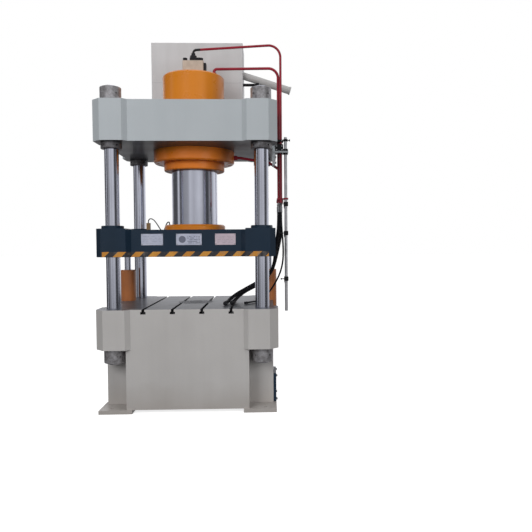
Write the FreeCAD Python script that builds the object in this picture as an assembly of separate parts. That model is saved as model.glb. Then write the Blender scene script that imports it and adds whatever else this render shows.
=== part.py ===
"""Four-column hydraulic press with a top ram, a T-slotted bed and an ejector.

Millimetres, +Z up. The origin is on the floor, under the axis of the main ram.
+X is to the operator's right and -Y is the operator's side.
Each piece of the press is written to its own STEP file in parts/.
"""
import FreeCAD, Part
import math
import os

V = FreeCAD.Vector

# ---------------------------------------------------------------- fits
RUN = 0.05            # radial clearance of a running fit
FIT = 0.1             # radial clearance of a seated round piece
SEAL_GAP = 0.1        # radial clearance between a moving rod and its seal
PISTON_GAP = 0.2      # radial clearance between a piston and its bore
EASE = 1.0            # radial clearance of a hole that nothing runs in

# ---------------------------------------------------------------- columns and levels
COLUMN_X = 629.0      # column axis from the centre, left and right
COLUMN_Y = 528.0      # column axis from the centre, front and back
COLUMN_D = 120.0
TABLE_Z = 878.0       # top of the bed
BED_LUG_H = 337.0     # height of the bed's corner lugs
CROWN_Z = 2279.0      # underside of the crown
CROWN_H = 341.0
CROWN_TOP_Z = CROWN_Z + CROWN_H
TOP_NUT_H = 115.0
LOCK_NUT_H = 55.0
BED_NUT_H = 120.0
NUT_D = COLUMN_D + 56.0
NUT_HOLE_D = 16.0
NUT_HOLE_DEPTH = 18.0
COLUMN_STICK_OUT = 10.0

# ---------------------------------------------------------------- corner lugs of bed and crown
LUG_SIDE = 136.0      # column axis to the lug's side face
LUG_FRONT = 131.0     # column axis to the lug's front face
LUG_CHAMFER = 72.0
LUG_FACE = 181.0
LUG_STEP = 38.5       # the lug stands this far out of the plates beside it
WALL = 30.0           # side plates of the weldments
CORNER = 2 * math.tan(math.radians(22.5))   # how much a lug's face shrinks per unit of inset
SIDE_FACE_X = COLUMN_X + LUG_SIDE           # side faces of the lugs

# ---------------------------------------------------------------- bed
FOOT_T = 32.0
FOOT_IN = COLUMN_X - 161.0      # inner edge of a foot plate from the centre
FOOT_OUT = COLUMN_X + 118.0
FOOT_FRONT = COLUMN_Y + 107.0
FOOT_LEN = 285.0
ANCHOR_D = 30.0
ANCHOR_X = COLUMN_X + 21.0
ANCHOR_Y = COLUMN_Y + 32.0
BODY_X = COLUMN_X - 114.0       # half width of the bed's front plate under the lugs
LEG_X = COLUMN_X + 92.0
LEG_Y = COLUMN_Y - 104.0
TABLE_T = 80.0
BED_FLOOR_T = 30.0
LUG_PLATE_T = 40.0
BED_WEB_X = 255.0     # the two upright webs inside the bed
WEB_T = 30.0
WINDOW_Y = COLUMN_Y - 228.0     # windows in those webs, from the centre
WINDOW_HALF = 110.0
WINDOW_Z = (200.0, 420.0)
BOSS_D = COLUMN_D + 80.0        # thick tube round each column hole
T_SLOT_PITCH = 245.0
T_NECK_W = 24.0
T_NECK_H = 20.0
T_HEAD_W = 44.0
T_HEAD_H = 20.0
PAD_D = 318.0
PAD_T = 60.0
DECK_Z = TABLE_Z - 238.0        # plate inside the bed that carries the ejector
DECK_T = 30.0
PIPE_HOLE_D = 80.0
PIPE_HOLE_Z = 180.0
COVER_W = 300.0       # side cover of the bed
COVER_Y = LEG_Y - 694.0         # its middle, towards the operator's end
COVER_H = 250.0
COVER_Z = 34.0
COVER_T = 25.0
COVER_SCREW_D = 14.0
COVER_SCREW_IN = 22.0

# ---------------------------------------------------------------- ejector
EJ_BARREL_D = 220.0
EJ_BORE_D = EJ_BARREL_D - 60.0
EJ_FLANGE_D = EJ_BARREL_D + 80.0
EJ_FLANGE_T = 30.0
EJ_BASE_Z = DECK_Z - 310.0
EJ_BASE_T = 20.0
EJ_TOP_Z = TABLE_Z - 98.0
EJ_GLAND_T = 40.0
EJ_ROD_D = 90.0
EJ_PISTON_T = 50.0
EJ_REST_GAP = 2.0

# ---------------------------------------------------------------- main cylinder and ram
CYL_D = 562.0
CYL_TOP_Z = CROWN_TOP_Z + 345.0
CYL_BORE_D = CYL_D - 112.0
CYL_END_T = 80.0
CYL_RIM = 12.0
FLANGE_D = CYL_D + 178.0
FLANGE_Z = CROWN_Z - 114.0
GLAND_D = CYL_BORE_D + 105.0
GLAND_Z = FLANGE_Z - 70.0
GLAND_SPIGOT = 25.0
SEAL_H = 50.0
BUSH_H = 60.0
RAM_D = CYL_BORE_D - 30.0
RAM_FOOT_D = RAM_D + 20.0
RAM_FOOT_H = 25.0
RAM_TOP_Z = CROWN_Z + 161.0
RAM_PISTON_T = 35.0
RAM_FLANGE_D = RAM_D + 140.0
RAM_FLANGE_H = 56.0
RAM_FLANGE_EDGE = 14.0
BOLT_D = 24.0
BOLT_HEAD_D = 38.0
BOLT_HEAD_H = 24.0
BOLT_SOCKET_D = 19.0
HEAD_RECESS = 1.0     # a sunk head lies this far inside its counterbore
FLANGE_PCD = FLANGE_D - 78.0
FLANGE_BOLTS = 16
GLAND_PCD = GLAND_D - 61.0
GLAND_BOLTS = 16
RAM_PCD = RAM_FLANGE_D - 74.0
RAM_BOLTS = 12
BOLT_GRIP = 40.0      # how far a bolt reaches into the piece it holds to
FILL_PORT_D = 100.0
BACK_PORT_Z = FLANGE_Z + 59.0   # return port in the side of the cylinder's flange
MAIN_PORT = (CYL_D / 2 - 81.0, -120.0)

# ---------------------------------------------------------------- crown
CROWN_TOP_T = 50.0
CROWN_BASE_T = 60.0
CROWN_TUBE_D = CYL_D + 138.0
VENT_D = 40.0
VENT_X = COLUMN_X - 199.0
VENT_Y = 180.0

# ---------------------------------------------------------------- slide
SLIDE_Z = TABLE_Z + 440.0       # underside of the slide at rest
SLIDE_H = 227.0
SLIDE_TOP_Z = SLIDE_Z + SLIDE_H
SLIDE_X = COLUMN_X + 116.0
SLIDE_Y = COLUMN_Y + 127.0
SLIDE_CHAMFER = 45.0
SLIDE_LUG_FACE = 206.0
SLIDE_SIDE_STEP = 22.0          # the side plates stand this far inside the lugs
SLIDE_LUG_RISE = 11.0
SLIDE_PLATE_T = 40.0
SLIDE_BUSH_D = COLUMN_D + 30.0
SLIDE_BOSS_D = COLUMN_D + 76.0
COLLAR_D = COLUMN_D + 66.0
COLLAR_H = 25.0
COLLAR_EASE = 0.5
PLATE_T = 1.5
PLATE_H = 94.0
PLATE_Z = SLIDE_Z + 145.0
PLATES = ((-283.0, 180.0), (22.0, 212.0), (325.0, 171.0))   # middle and width of each
TAPE_T = 1.0
TAPE_H = 42.0
TAPE_Z = SLIDE_Z + 2.0
TAPE_SETBACK = 12.0   # the tape on a lug starts this far from the lug's edge
STRIKER_Z = SLIDE_Z + 8.0
STRIKER_H = 40.0
STRIKER_Y = (-185.0, -125.0)
STRIKER_T = 8.0
STRIKER_NOSE_Y = -168.0
STRIKER_NOSE_W = 14.0
STRIKER_REACH = 30.0

# ---------------------------------------------------------------- side cylinders
SIDE_X = COLUMN_X + 57.0
SIDE_Y = 220.0
SIDE_D = 152.0
SIDE_BORE_D = SIDE_D - 40.0
SIDE_BASE_Z = TABLE_Z - 408.0
SIDE_TOP_Z = TABLE_Z + 298.0
SIDE_BASE_T = 20.0
SIDE_HEAD_T = 40.0
SIDE_SPIGOT = 25.0
SIDE_ROD_D = 62.0
SIDE_PISTON_T = 50.0
SIDE_PISTON_Z = SIDE_BASE_Z + 130.0
SIDE_POCKET_WALL = 24.0
SIDE_ROD_GRIP = 60.0

# ---------------------------------------------------------------- prefill valve
VALVE_X0 = -84.0
VALVE_X1 = 104.0
VALVE_Y0 = -120.0
VALVE_Y1 = 70.0
VALVE_H = 127.0
VALVE_TOP_Z = CYL_TOP_Z + VALVE_H
VALVE_EDGE = 5.0
VALVE_SHANK_D = 16.0
VALVE_SCREW_D = 40.0
VALVE_SCREW_H = 24.0
VALVE_SCREW_IN = 22.0
PILOT_X = 5.0
PILOT_Y = -30.0
PILOT_COVER_H = 43.0
PILOT_HEX_H = 25.0
PILOT_HEX_R = 30.0
PILOT_NECK_H = 20.0
PILOT_SEAT = 15.0     # how far the pipe sits in the neck
PLUG_T = 22.0
SUCTION_D = 90.0
SUCTION_BORE_D = 78.0
SUCTION_FLANGE_D = 130.0
SUCTION_FLANGE_T = 16.0
SUCTION_Z = CYL_TOP_Z + 63.0

# ---------------------------------------------------------------- oil tank
TANK_X = COLUMN_X - 183.0
TANK_Y0 = CYL_D / 2 + 21.0
TANK_Y1 = COLUMN_Y + 127.0
TANK_TOP_Z = CROWN_TOP_Z + 770.0
TANK_WALL = 5.0
TANK_LID_T = 8.0
SPOUT_D = 72.0
SPOUT_BORE_D = 64.0
SPOUT_Y = TANK_Y1 - 255.0
SPOUT_START_Z = TANK_TOP_Z - 290.0
SPOUT_END = (TANK_X + 470.0, SPOUT_START_Z - 148.0)
SPOUT_CAP_T = 14.0
SPOUT_CAP_D = 80.0
STUB_D = 28.0
STUB_LEN = 130.0
STUB_Y = TANK_Y1 - 310.0
STUB_Z = CROWN_TOP_Z + 375.0

# ---------------------------------------------------------------- red pipes down the right side
PILOT_PIPE_D = 22.0
MAIN_PIPE_D = 25.0
PIPE_WALL = 3.0
PIPE_END_Z = CROWN_Z - 479.0
PILOT_PIPE_AT = (SIDE_FACE_X + 41.0, -95.0)
MAIN_PIPE_AT = (SIDE_FACE_X + 19.0, -58.0)
BACK_PIPE_AT = (SIDE_FACE_X + 35.0, -14.0)
PILOT_RISE = (120.0, 151.0)     # corners of the pilot pipe above the valve
PILOT_BENDS = (30.0, 110.0)
MAIN_RISE = (47.0, 75.0)        # corners of the main pipe above the cylinder
MAIN_BENDS = (32.0, 85.0)
BACK_BEND_R = 55.0
BACK_DROP = (46.0, 114.0)       # corners of the back pipe below its port
BACK_RUN = 60.0
PORT_COLLAR = 9.0
UNION_H = 26.0
FERRULE_H = 85.0

# ---------------------------------------------------------------- pipe bracket and switch rail
BAR_T = 25.0
BAR_Y0 = -150.0
BAR_Y1 = -45.0
BAR_Z0 = CROWN_Z - 141.0
BAR_Z1 = CROWN_Z + 121.0
SHELF_Z = CROWN_Z - 26.0
SHELF_T = 15.0
SHELF_X = SIDE_FACE_X + 107.0
CLAMP_X = SIDE_FACE_X + 63.0
CLAMP_Y = (-118.0, -36.0)
CLAMP_LOW = (SHELF_Z + 15.0, SHELF_Z + 82.0)
CLAMP_HIGH = (SHELF_Z + 104.0, SHELF_Z + 124.0)
RAIL_X = SIDE_FACE_X + 83.0
RAIL_Y = -132.0
RAIL_D = 28.0
RAIL_BORE_D = 20.0
RAIL_Z0 = TABLE_Z - 75.0
RAIL_Z1 = SHELF_Z + 142.0
TIE_Z = PIPE_END_Z + 28.0       # plate that ties the pipes to the rail
TIE_T = 14.0
TIE_X0 = SIDE_FACE_X + 1.0
TIE_Y = (-113.0, 6.0)
TIE_ARM_Y = -60.0
SWITCH_Z = (PIPE_END_Z - 14.0, SLIDE_Z + 202.0, TABLE_Z + 222.0)
SWITCH_NAMES = ("upper", "middle", "lower")
SWITCH_W = 40.0
SWITCH_H = 40.0
SWITCH_Y0 = -160.0
SWITCH_Y1 = -108.0
LEVER_LEN = 36.0
LEVER_T = 4.0
LEVER_PIN_D = 8.0
LEVER_PIN_IN = 10.0
ROLLER_D = 16.0
ROLLER_W = 9.0
LEVER_GAP = 0.5

# ---------------------------------------------------------------- hoses and lubrication line
HOSE_D = 32.0
THIN_HOSE_D = 16.0
LUBE_D = 10.0
HOSE_ARC_SHARE = 0.45

# points of a hose: distance right of the lugs' side faces, depth, height above the table
MAIN_HOSE = [(19, -58, 837), (19, -58, 756), (13, -57, 662), (-1, -54, 567), (-15, -46, 474),
             (-21, -32, 384), (-43, -8, 302), (-89, 22, 240), (-152, 42, 196), (-224, 42, 158),
             (-304, 18, 116), (-384, -36, 74), (-434, -108, 38), (-452, -190, 19), (-460, -270, 19)]
BACK_HOSE = [(35, -14, 837), (35, -14, 756), (38, -11, 667), (27, -6, 574), (5, 4, 480), (-15, 16, 390),
             (-39, 40, 308), (-83, 66, 234), (-146, 84, 178), (-218, 84, 134), (-296, 62, 96),
             (-356, 8, 58), (-390, -72, 26), (-402, -160, 19), (-406, -240, 19)]
THIN_HOSE = [(41, -95, 837), (41, -95, 762), (46, -93, 674), (55, -88, 568), (59, -80, 460), (52, -68, 359),
             (27, -54, 267), (-13, -40, 184), (-61, -36, 110), (-113, -48, 50), (-167, -84, 14),
             (-224, -136, 10.5), (-274, -200, 10.5)]

# points of the lubrication line: place on the slide, height above the slide's top
LUBE_LINE = [(-514, 380, 91), (-514, 380, 113), (-500, 378, 135), (-468, 374, 131), (-436, 368, 97),
             (-408, 356, 55), (-380, 328, 18), (-356, 284, 6), (-338, 230, 6), (-324, 176, 6),
             (-312, 130, 11), (-298, 88, 33), (-282, 56, 61), (-264, 32, 83), (-248, 16, 89),
             (-240, 8, 75), (-240, 8, 56)]
LUBE_FLANGE_D = 560.0           # ram flange those points are laid round
LUBE_BLOCK_X = (-16.0, 20.0)    # block under the line's outer end, from its first point
LUBE_BLOCK_Y = (-20.0, 20.0)


# ================================================================ small helpers
def box(x0, x1, y0, y1, z0, z1):
    return Part.makeBox(x1 - x0, y1 - y0, z1 - z0, V(x0, y0, z0))


def post(d, z0, z1, at=(0.0, 0.0)):
    return Part.makeCylinder(d / 2, z1 - z0, V(at[0], at[1], z0))


def ring(outer, inner, z0, z1, at=(0.0, 0.0)):
    return post(outer, z0, z1, at).cut(post(inner, z0 - 1, z1 + 1, at))


def prism(points, z0, z1):
    outline = [V(x, y, z0) for x, y in points]
    face = Part.Face(Part.makePolygon(outline + [outline[0]]))
    return face.extrude(V(0, 0, z1 - z0))


def turned(profile, at=(0.0, 0.0)):
    """Turn a closed outline of (radius, height) points about an upright axis."""
    outline = [V(at[0] + r, at[1], z) for r, z in profile]
    face = Part.Face(Part.makePolygon(outline + [outline[0]]))
    return face.revolve(V(at[0], at[1], 0), V(0, 0, 1), 360)


def corners():
    return [(sx * COLUMN_X, sy * COLUMN_Y) for sx in (-1, 1) for sy in (-1, 1)]


def on_circle(pcd, count, first=0.5):
    step = 2 * math.pi / count
    return [(pcd / 2 * math.cos((i + first) * step), pcd / 2 * math.sin((i + first) * step))
            for i in range(count)]


def cut_all(solid, tools):
    return solid.cut(Part.Compound(tools)) if tools else solid


def join_all(first, rest):
    joined = first
    for piece in rest:
        joined = joined.fuse(piece)
    return joined.removeSplitter()


def bent_line(points, radii):
    """Straight runs joined by tangent arcs, one radius for each inner point."""
    edges = []
    here = points[0]
    for before, corner, after, radius in zip(points, points[1:], points[2:], radii):
        way_in = (corner - before).normalize()
        way_out = (after - corner).normalize()
        half_turn = way_in.getAngle(way_out) / 2
        set_back = radius * math.tan(half_turn)
        inward = (way_out - way_in).normalize()
        middle = corner + inward * (radius / math.cos(half_turn) - radius)
        arc_start = corner - way_in * set_back
        arc_end = corner + way_out * set_back
        edges.append(Part.LineSegment(here, arc_start).toShape())
        edges.append(Part.Arc(arc_start, middle, arc_end).toShape())
        here = arc_end
    edges.append(Part.LineSegment(here, points[-1]).toShape())
    return Part.Wire(edges)


def sweep_round(path, points, d):
    direction = (points[1] - points[0]).normalize()
    section = Part.Wire(Part.makeCircle(d / 2, points[0], direction))
    return Part.Solid(path.makePipeShell([section], True, False))


def rigid_pipe(points, d, wall, bends):
    """A bent steel tube with its bore; one bend radius for each inner point."""
    places = [V(*p) for p in points]
    path = bent_line(places, bends)
    return sweep_round(path, places, d).cut(sweep_round(path, places, d - 2 * wall))


def hose_radii(places):
    radii = []
    for before, corner, after in zip(places, places[1:], places[2:]):
        shorter = min((corner - before).Length, (after - corner).Length)
        half_turn = (corner - before).getAngle(after - corner) / 2
        radii.append(HOSE_ARC_SHARE * shorter / math.tan(half_turn))
    return radii


def hang(route):
    """Places of a hose's points, stretched between the pipes' ends and the table."""
    top = route[0][2]
    rest = route[-1][2]
    stretch = (PIPE_END_Z - FERRULE_H - TABLE_Z - rest) / (top - rest)
    return [(SIDE_FACE_X + x, y, TABLE_Z + rest + (h - rest) * stretch) for x, y, h in route]


def lay_lube_line():
    spread = RAM_FLANGE_D / LUBE_FLANGE_D
    return [(x * spread, y * spread, SLIDE_TOP_Z + h) for x, y, h in LUBE_LINE]


def hose(name, points, d):
    """A solid tube along the hose's route; prints its radii and its length."""
    places = [V(*p) for p in points]
    radii = hose_radii(places)
    path = bent_line(places, radii)
    tube = sweep_round(path, places, d)
    filled = tube.Volume / (math.pi * d * d / 4 * path.Length)
    rounded = [round(r) for r in radii]
    print(name, "length", round(path.Length), "smallest radius", min(rounded), "radii", rounded,
          "volume ratio", round(filled, 4))
    return tube


def bolt(at, head_z, reach, d=BOLT_D, head_d=BOLT_HEAD_D, head_h=BOLT_HEAD_H, down=False):
    """A socket screw. The head's seat is at head_z; the shank goes up, or down when down is set."""
    way = -1 if down else 1
    head_far = head_z - way * head_h
    head = post(head_d, min(head_z, head_far), max(head_z, head_far), at)
    socket_end = head_far + way * head_h * 0.55
    socket = post(BOLT_SOCKET_D, min(head_far, socket_end), max(head_far, socket_end), at)
    tip = head_z + way * reach
    shank = post(d, min(head_z, tip), max(head_z, tip), at)
    return head.cut(socket).fuse(shank)


# ================================================================ plan of bed, crown and slide
def portal_plan(half_x, half_y, chamfer, face, step, side_step):
    """Outline with a chamfered lug at each corner and plates set back between the lugs."""
    quarter = [(half_x - chamfer - face - step, half_y - step),
               (half_x - chamfer - face, half_y),
               (half_x - chamfer, half_y),
               (half_x, half_y - chamfer)]
    if side_step:
        quarter.append((half_x, half_y - chamfer - face))
        quarter.append((half_x - side_step, half_y - chamfer - face - side_step))
    right = [(x, -y) for x, y in quarter] + [(x, y) for x, y in reversed(quarter)]
    return right + [(-x, y) for x, y in reversed(right)]


def inset_plan(half_x, half_y, chamfer, face, step, side_step, inset):
    """The same outline moved inwards by one distance all round; outwards when inset is negative."""
    return portal_plan(half_x - inset, half_y - inset, chamfer - inset * CORNER / math.sqrt(2),
                       face - inset * CORNER, step, side_step)


def frame_plan(inset=0.0):
    """The shared outline of the bed's top and the crown, or the line of their inner walls."""
    return inset_plan(SIDE_FACE_X, COLUMN_Y + LUG_FRONT, LUG_CHAMFER, LUG_FACE, LUG_STEP, LUG_STEP, inset)


def column_bosses(z0, z1, d):
    return [post(d, z0, z1, at) for at in corners()]


# ================================================================ bed
def bed_shell():
    lug_z = TABLE_Z - BED_LUG_H
    top = prism(frame_plan(), lug_z, TABLE_Z)
    front_y = COLUMN_Y + LUG_FRONT - LUG_STEP
    body = box(-BODY_X, BODY_X, -front_y, front_y, FOOT_T, lug_z)
    legs = box(-LEG_X, LEG_X, -LEG_Y, LEG_Y, FOOT_T, lug_z)
    return join_all(top, [body, legs])


def bed_feet():
    feet = []
    for sx in (-1, 1):
        for sy in (-1, 1):
            x0, x1 = sorted((sx * FOOT_IN, sx * FOOT_OUT))
            y0, y1 = sorted((sy * FOOT_FRONT, sy * (FOOT_FRONT - FOOT_LEN)))
            feet.append(box(x0, x1, y0, y1, 0, FOOT_T))
    return feet


def bed_hollow():
    lug_z = TABLE_Z - BED_LUG_H
    roof_z = TABLE_Z - TABLE_T
    front_y = COLUMN_Y + LUG_FRONT - LUG_STEP
    floor_z = FOOT_T + BED_FLOOR_T
    upper = prism(frame_plan(WALL), lug_z + LUG_PLATE_T, roof_z)
    body = box(WALL - BODY_X, BODY_X - WALL, WALL - front_y, front_y - WALL, floor_z, roof_z)
    legs = box(WALL - LEG_X, LEG_X - WALL, WALL - LEG_Y, LEG_Y - WALL, floor_z, roof_z)
    hollow = join_all(upper, [body, legs])
    hollow = cut_all(hollow, column_bosses(lug_z - 1, TABLE_Z + 1, BOSS_D))
    pockets = [post(SIDE_D + 2 * SIDE_POCKET_WALL, SIDE_BASE_Z - BED_FLOOR_T, TABLE_Z, (sx * SIDE_X, SIDE_Y))
               for sx in (-1, 1)]
    webs = [box(sx * BED_WEB_X - WEB_T / 2, sx * BED_WEB_X + WEB_T / 2, -front_y, front_y, 0, TABLE_Z)
            for sx in (-1, 1)]
    windows = [box(sx * BED_WEB_X - WEB_T, sx * BED_WEB_X + WEB_T, sy * WINDOW_Y - WINDOW_HALF,
                   sy * WINDOW_Y + WINDOW_HALF, WINDOW_Z[0], WINDOW_Z[1]) for sx in (-1, 1) for sy in (-1, 1)]
    webs = [cut_all(web, windows) for web in webs]
    deck = box(-BED_WEB_X, BED_WEB_X, -front_y, front_y, DECK_Z, DECK_Z + DECK_T)
    return cut_all(hollow, pockets + webs + [deck])


def t_slots():
    reach = COLUMN_Y + LUG_FRONT
    neck_z = TABLE_Z - T_NECK_H
    slots = []
    for x in (-1.5, -0.5, 0.5, 1.5):
        x = x * T_SLOT_PITCH
        slots.append(box(x - T_NECK_W / 2, x + T_NECK_W / 2, -reach, reach, neck_z - 1, TABLE_Z + 1))
        slots.append(box(x - T_HEAD_W / 2, x + T_HEAD_W / 2, -reach, reach, neck_z - T_HEAD_H, neck_z))
    return slots


def side_pockets():
    """Upright grooves in the bed's sides that the side cylinders stand in."""
    return [post(SIDE_D + 2 * FIT, SIDE_BASE_Z, TABLE_Z + 1, (sx * SIDE_X, SIDE_Y)) for sx in (-1, 1)]


def bed_shelves():
    """Ledges under the side cylinders, cut to the round of the pocket."""
    shelves = []
    for sx in (-1, 1):
        shelves.append(post(SIDE_D, SIDE_BASE_Z - BED_FLOOR_T, SIDE_BASE_Z, (sx * SIDE_X, SIDE_Y)))
    return shelves


def bed_frame():
    shell = bed_shell().cut(bed_hollow())
    frame = join_all(shell, bed_feet() + bed_shelves())
    lug_z = TABLE_Z - BED_LUG_H
    holes = [post(COLUMN_D + 2 * FIT, lug_z - 1, TABLE_Z + 1, at) for at in corners()]
    holes.append(post(PAD_D + 2 * EASE, TABLE_Z - TABLE_T - 1, TABLE_Z + 1))
    holes.append(post(EJ_BARREL_D + 2 * FIT, DECK_Z - 1, DECK_Z + DECK_T + 1))
    for sx in (-1, 1):
        for sy in (-1, 1):
            holes.append(post(ANCHOR_D, -1, FOOT_T + 1, (sx * ANCHOR_X, sy * ANCHOR_Y)))
    rear = Part.makeCylinder(PIPE_HOLE_D / 2, 2 * WALL, V(0, COLUMN_Y, PIPE_HOLE_Z), V(0, 1, 0))
    rear.translate(V(0, LUG_FRONT - LUG_STEP - 1.5 * WALL, 0))
    return cut_all(frame, holes + t_slots() + side_pockets() + [rear] + cover_holes())


def cover_screws():
    return [(COVER_Y + sy * (COVER_W / 2 - COVER_SCREW_IN), COVER_Z + dz) for sy in (-1, 1)
            for dz in (COVER_SCREW_IN, COVER_H - COVER_SCREW_IN)]


def cover_holes():
    return [Part.makeCylinder(COVER_SCREW_D / 2 - 2, WALL + 2, V(LEG_X - WALL - 1, y, z), V(1, 0, 0))
            for y, z in cover_screws()]


def bed_side_cover():
    y0 = COVER_Y - COVER_W / 2
    y1 = COVER_Y + COVER_W / 2
    cover = box(LEG_X, LEG_X + COVER_T, y0, y1, COVER_Z, COVER_Z + COVER_H)
    upright = [e for e in cover.Edges if e.BoundBox.XLength > COVER_T - 1]
    cover = cover.makeFillet(14, upright)
    inner = box(LEG_X - 1, LEG_X + COVER_T - 4, y0 + 12, y1 - 12, COVER_Z + 12, COVER_Z + COVER_H - 12)
    posts = [Part.makeCylinder(14, COVER_T - 4, V(LEG_X, y, z), V(1, 0, 0)) for y, z in cover_screws()]
    cover = join_all(cover.cut(inner), posts)
    holes = [Part.makeCylinder(COVER_SCREW_D / 2 - 2, COVER_T + 2, V(LEG_X - 1, y, z), V(1, 0, 0))
             for y, z in cover_screws()]
    return cut_all(cover, holes)


# ================================================================ columns and nuts
def column(at):
    z0 = TABLE_Z - BED_LUG_H - BED_NUT_H - COLUMN_STICK_OUT
    z1 = CROWN_TOP_Z + TOP_NUT_H + COLUMN_STICK_OUT
    r = COLUMN_D / 2
    return turned([(0, z0), (r - 4, z0), (r, z0 + 4), (r, z1 - 4), (r - 4, z1), (0, z1)], at)


def round_nut(at, z0, h):
    """A round nut with four radial holes for a pin spanner."""
    r = NUT_D / 2
    bore = COLUMN_D / 2 + FIT
    nut = turned([(bore, z0), (r - 4, z0), (r, z0 + 4), (r, z0 + h - 4), (r - 4, z0 + h), (bore, z0 + h)], at)
    holes = []
    for turn in (45, 135, 225, 315):
        way = V(math.cos(math.radians(turn)), math.sin(math.radians(turn)), 0)
        start = V(at[0], at[1], z0 + h / 2) + way * (r - NUT_HOLE_DEPTH)
        holes.append(Part.makeCylinder(NUT_HOLE_D / 2, NUT_HOLE_DEPTH + 5, start, way))
    return cut_all(nut, holes)


def nuts(z0, h):
    return Part.Compound([round_nut(at, z0, h) for at in corners()])


# ================================================================ crown
def crown_frame():
    top_z = CROWN_TOP_Z
    block = prism(frame_plan(), CROWN_Z, top_z)
    hollow = prism(frame_plan(WALL), CROWN_Z + CROWN_BASE_T, top_z - CROWN_TOP_T)
    reach = SIDE_FACE_X
    keep = column_bosses(CROWN_Z, top_z, BOSS_D) + [post(CROWN_TUBE_D, CROWN_Z, top_z)]
    keep.append(box(-reach, reach, -WEB_T / 2, WEB_T / 2, CROWN_Z, top_z))
    keep.append(box(-WEB_T / 2, WEB_T / 2, -reach, reach, CROWN_Z, top_z))
    crown = block.cut(cut_all(hollow, keep))
    holes = [post(COLUMN_D + 2 * FIT, CROWN_Z - 1, top_z + 1, at) for at in corners()]
    holes.append(post(CYL_D + 2 * FIT, CROWN_Z - 1, top_z + 1))
    for sx in (-1, 1):
        for sy in (-1, 1):
            holes.append(post(VENT_D, top_z - CROWN_TOP_T - 1, top_z + 1, (sx * VENT_X, sy * VENT_Y)))
    holes += [post(BOLT_D + 2 * FIT, CROWN_Z - 1, CROWN_Z + BOLT_GRIP + EASE, at)
              for at in on_circle(FLANGE_PCD, FLANGE_BOLTS)]
    return cut_all(crown, holes)


# ================================================================ main cylinder
def counterbores(z, pcd, count):
    """Pockets that sink the heads of a ring of screws, upwards from z."""
    return [post(BOLT_HEAD_D + 2 * EASE, z - 1, z + BOLT_HEAD_H + HEAD_RECESS, at)
            for at in on_circle(pcd, count)]


def main_cylinder():
    """Forged barrel: closed top, thick lower flange that bears on the crown's underside."""
    r = CYL_D / 2
    bore = CYL_BORE_D / 2
    roof_z = CYL_TOP_Z - CYL_END_T
    barrel = turned([(bore, FLANGE_Z), (FLANGE_D / 2 - CYL_RIM, FLANGE_Z), (FLANGE_D / 2, FLANGE_Z + CYL_RIM),
                     (FLANGE_D / 2, CROWN_Z), (r, CROWN_Z), (r, CYL_TOP_Z - CYL_RIM),
                     (r - CYL_RIM, CYL_TOP_Z), (FILL_PORT_D / 2, CYL_TOP_Z), (FILL_PORT_D / 2, roof_z),
                     (bore, roof_z)])
    holes = [post(BOLT_D + 2 * FIT, FLANGE_Z - 1, CROWN_Z + 1, at)
             for at in on_circle(FLANGE_PCD, FLANGE_BOLTS)]
    holes += counterbores(FLANGE_Z, FLANGE_PCD, FLANGE_BOLTS)
    holes += [post(BOLT_D + 2 * FIT, FLANGE_Z - 1, FLANGE_Z + BOLT_GRIP + EASE, at)
              for at in on_circle(GLAND_PCD, GLAND_BOLTS)]
    holes.append(post(MAIN_PIPE_D - 2 * PIPE_WALL, roof_z - 1, CYL_TOP_Z + 1, MAIN_PORT))
    back_port = Part.makeCylinder(MAIN_PIPE_D / 2 - PIPE_WALL, FLANGE_D, V(0, BACK_PIPE_AT[1], BACK_PORT_Z),
                                  V(1, 0, 0))
    return cut_all(barrel, holes + [back_port])


def cylinder_bolts():
    """Screws that hold the cylinder's flange to the crown and the gland ring to the flange."""
    sunk = BOLT_HEAD_H + HEAD_RECESS
    outer = [bolt(at, FLANGE_Z + sunk, CROWN_Z - FLANGE_Z - sunk + BOLT_GRIP)
             for at in on_circle(FLANGE_PCD, FLANGE_BOLTS)]
    inner = [bolt(at, GLAND_Z + sunk, FLANGE_Z - GLAND_Z - sunk + BOLT_GRIP)
             for at in on_circle(GLAND_PCD, GLAND_BOLTS)]
    return Part.Compound(outer + inner)


def gland_ring():
    bore = RAM_D / 2 + EASE
    spigot = CYL_BORE_D / 2 - FIT
    r = GLAND_D / 2
    ring_solid = turned([(bore, GLAND_Z), (r - 8, GLAND_Z), (r, GLAND_Z + 8), (r, FLANGE_Z),
                         (spigot, FLANGE_Z), (spigot, FLANGE_Z + GLAND_SPIGOT),
                         (bore, FLANGE_Z + GLAND_SPIGOT)])
    holes = [post(BOLT_D + 2 * FIT, GLAND_Z - 1, FLANGE_Z + 1, at)
             for at in on_circle(GLAND_PCD, GLAND_BOLTS)]
    holes += counterbores(GLAND_Z, GLAND_PCD, GLAND_BOLTS)
    return cut_all(ring_solid, holes)


def ram_seals():
    """Stack of chevron rings: a scalloped section is left out, the stack is one ring."""
    z0 = FLANGE_Z + GLAND_SPIGOT
    return ring(CYL_BORE_D - 2 * FIT, RAM_D + 2 * SEAL_GAP, z0, z0 + SEAL_H)


def ram_bush():
    z0 = FLANGE_Z + GLAND_SPIGOT + SEAL_H
    return ring(CYL_BORE_D - 2 * FIT, RAM_D + 2 * RUN, z0, z0 + BUSH_H)


def ram():
    """Chromed ram with its piston head and the foot that the clamp ring holds."""
    z0 = SLIDE_TOP_Z
    r = RAM_D / 2
    foot = RAM_FOOT_D / 2
    piston = CYL_BORE_D / 2 - PISTON_GAP
    piston_z = RAM_TOP_Z - RAM_PISTON_T
    return turned([(0, z0), (foot, z0), (foot, z0 + RAM_FOOT_H), (r, z0 + RAM_FOOT_H), (r, piston_z),
                   (piston, piston_z), (piston, RAM_TOP_Z - 4), (piston - 4, RAM_TOP_Z), (0, RAM_TOP_Z)])


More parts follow.
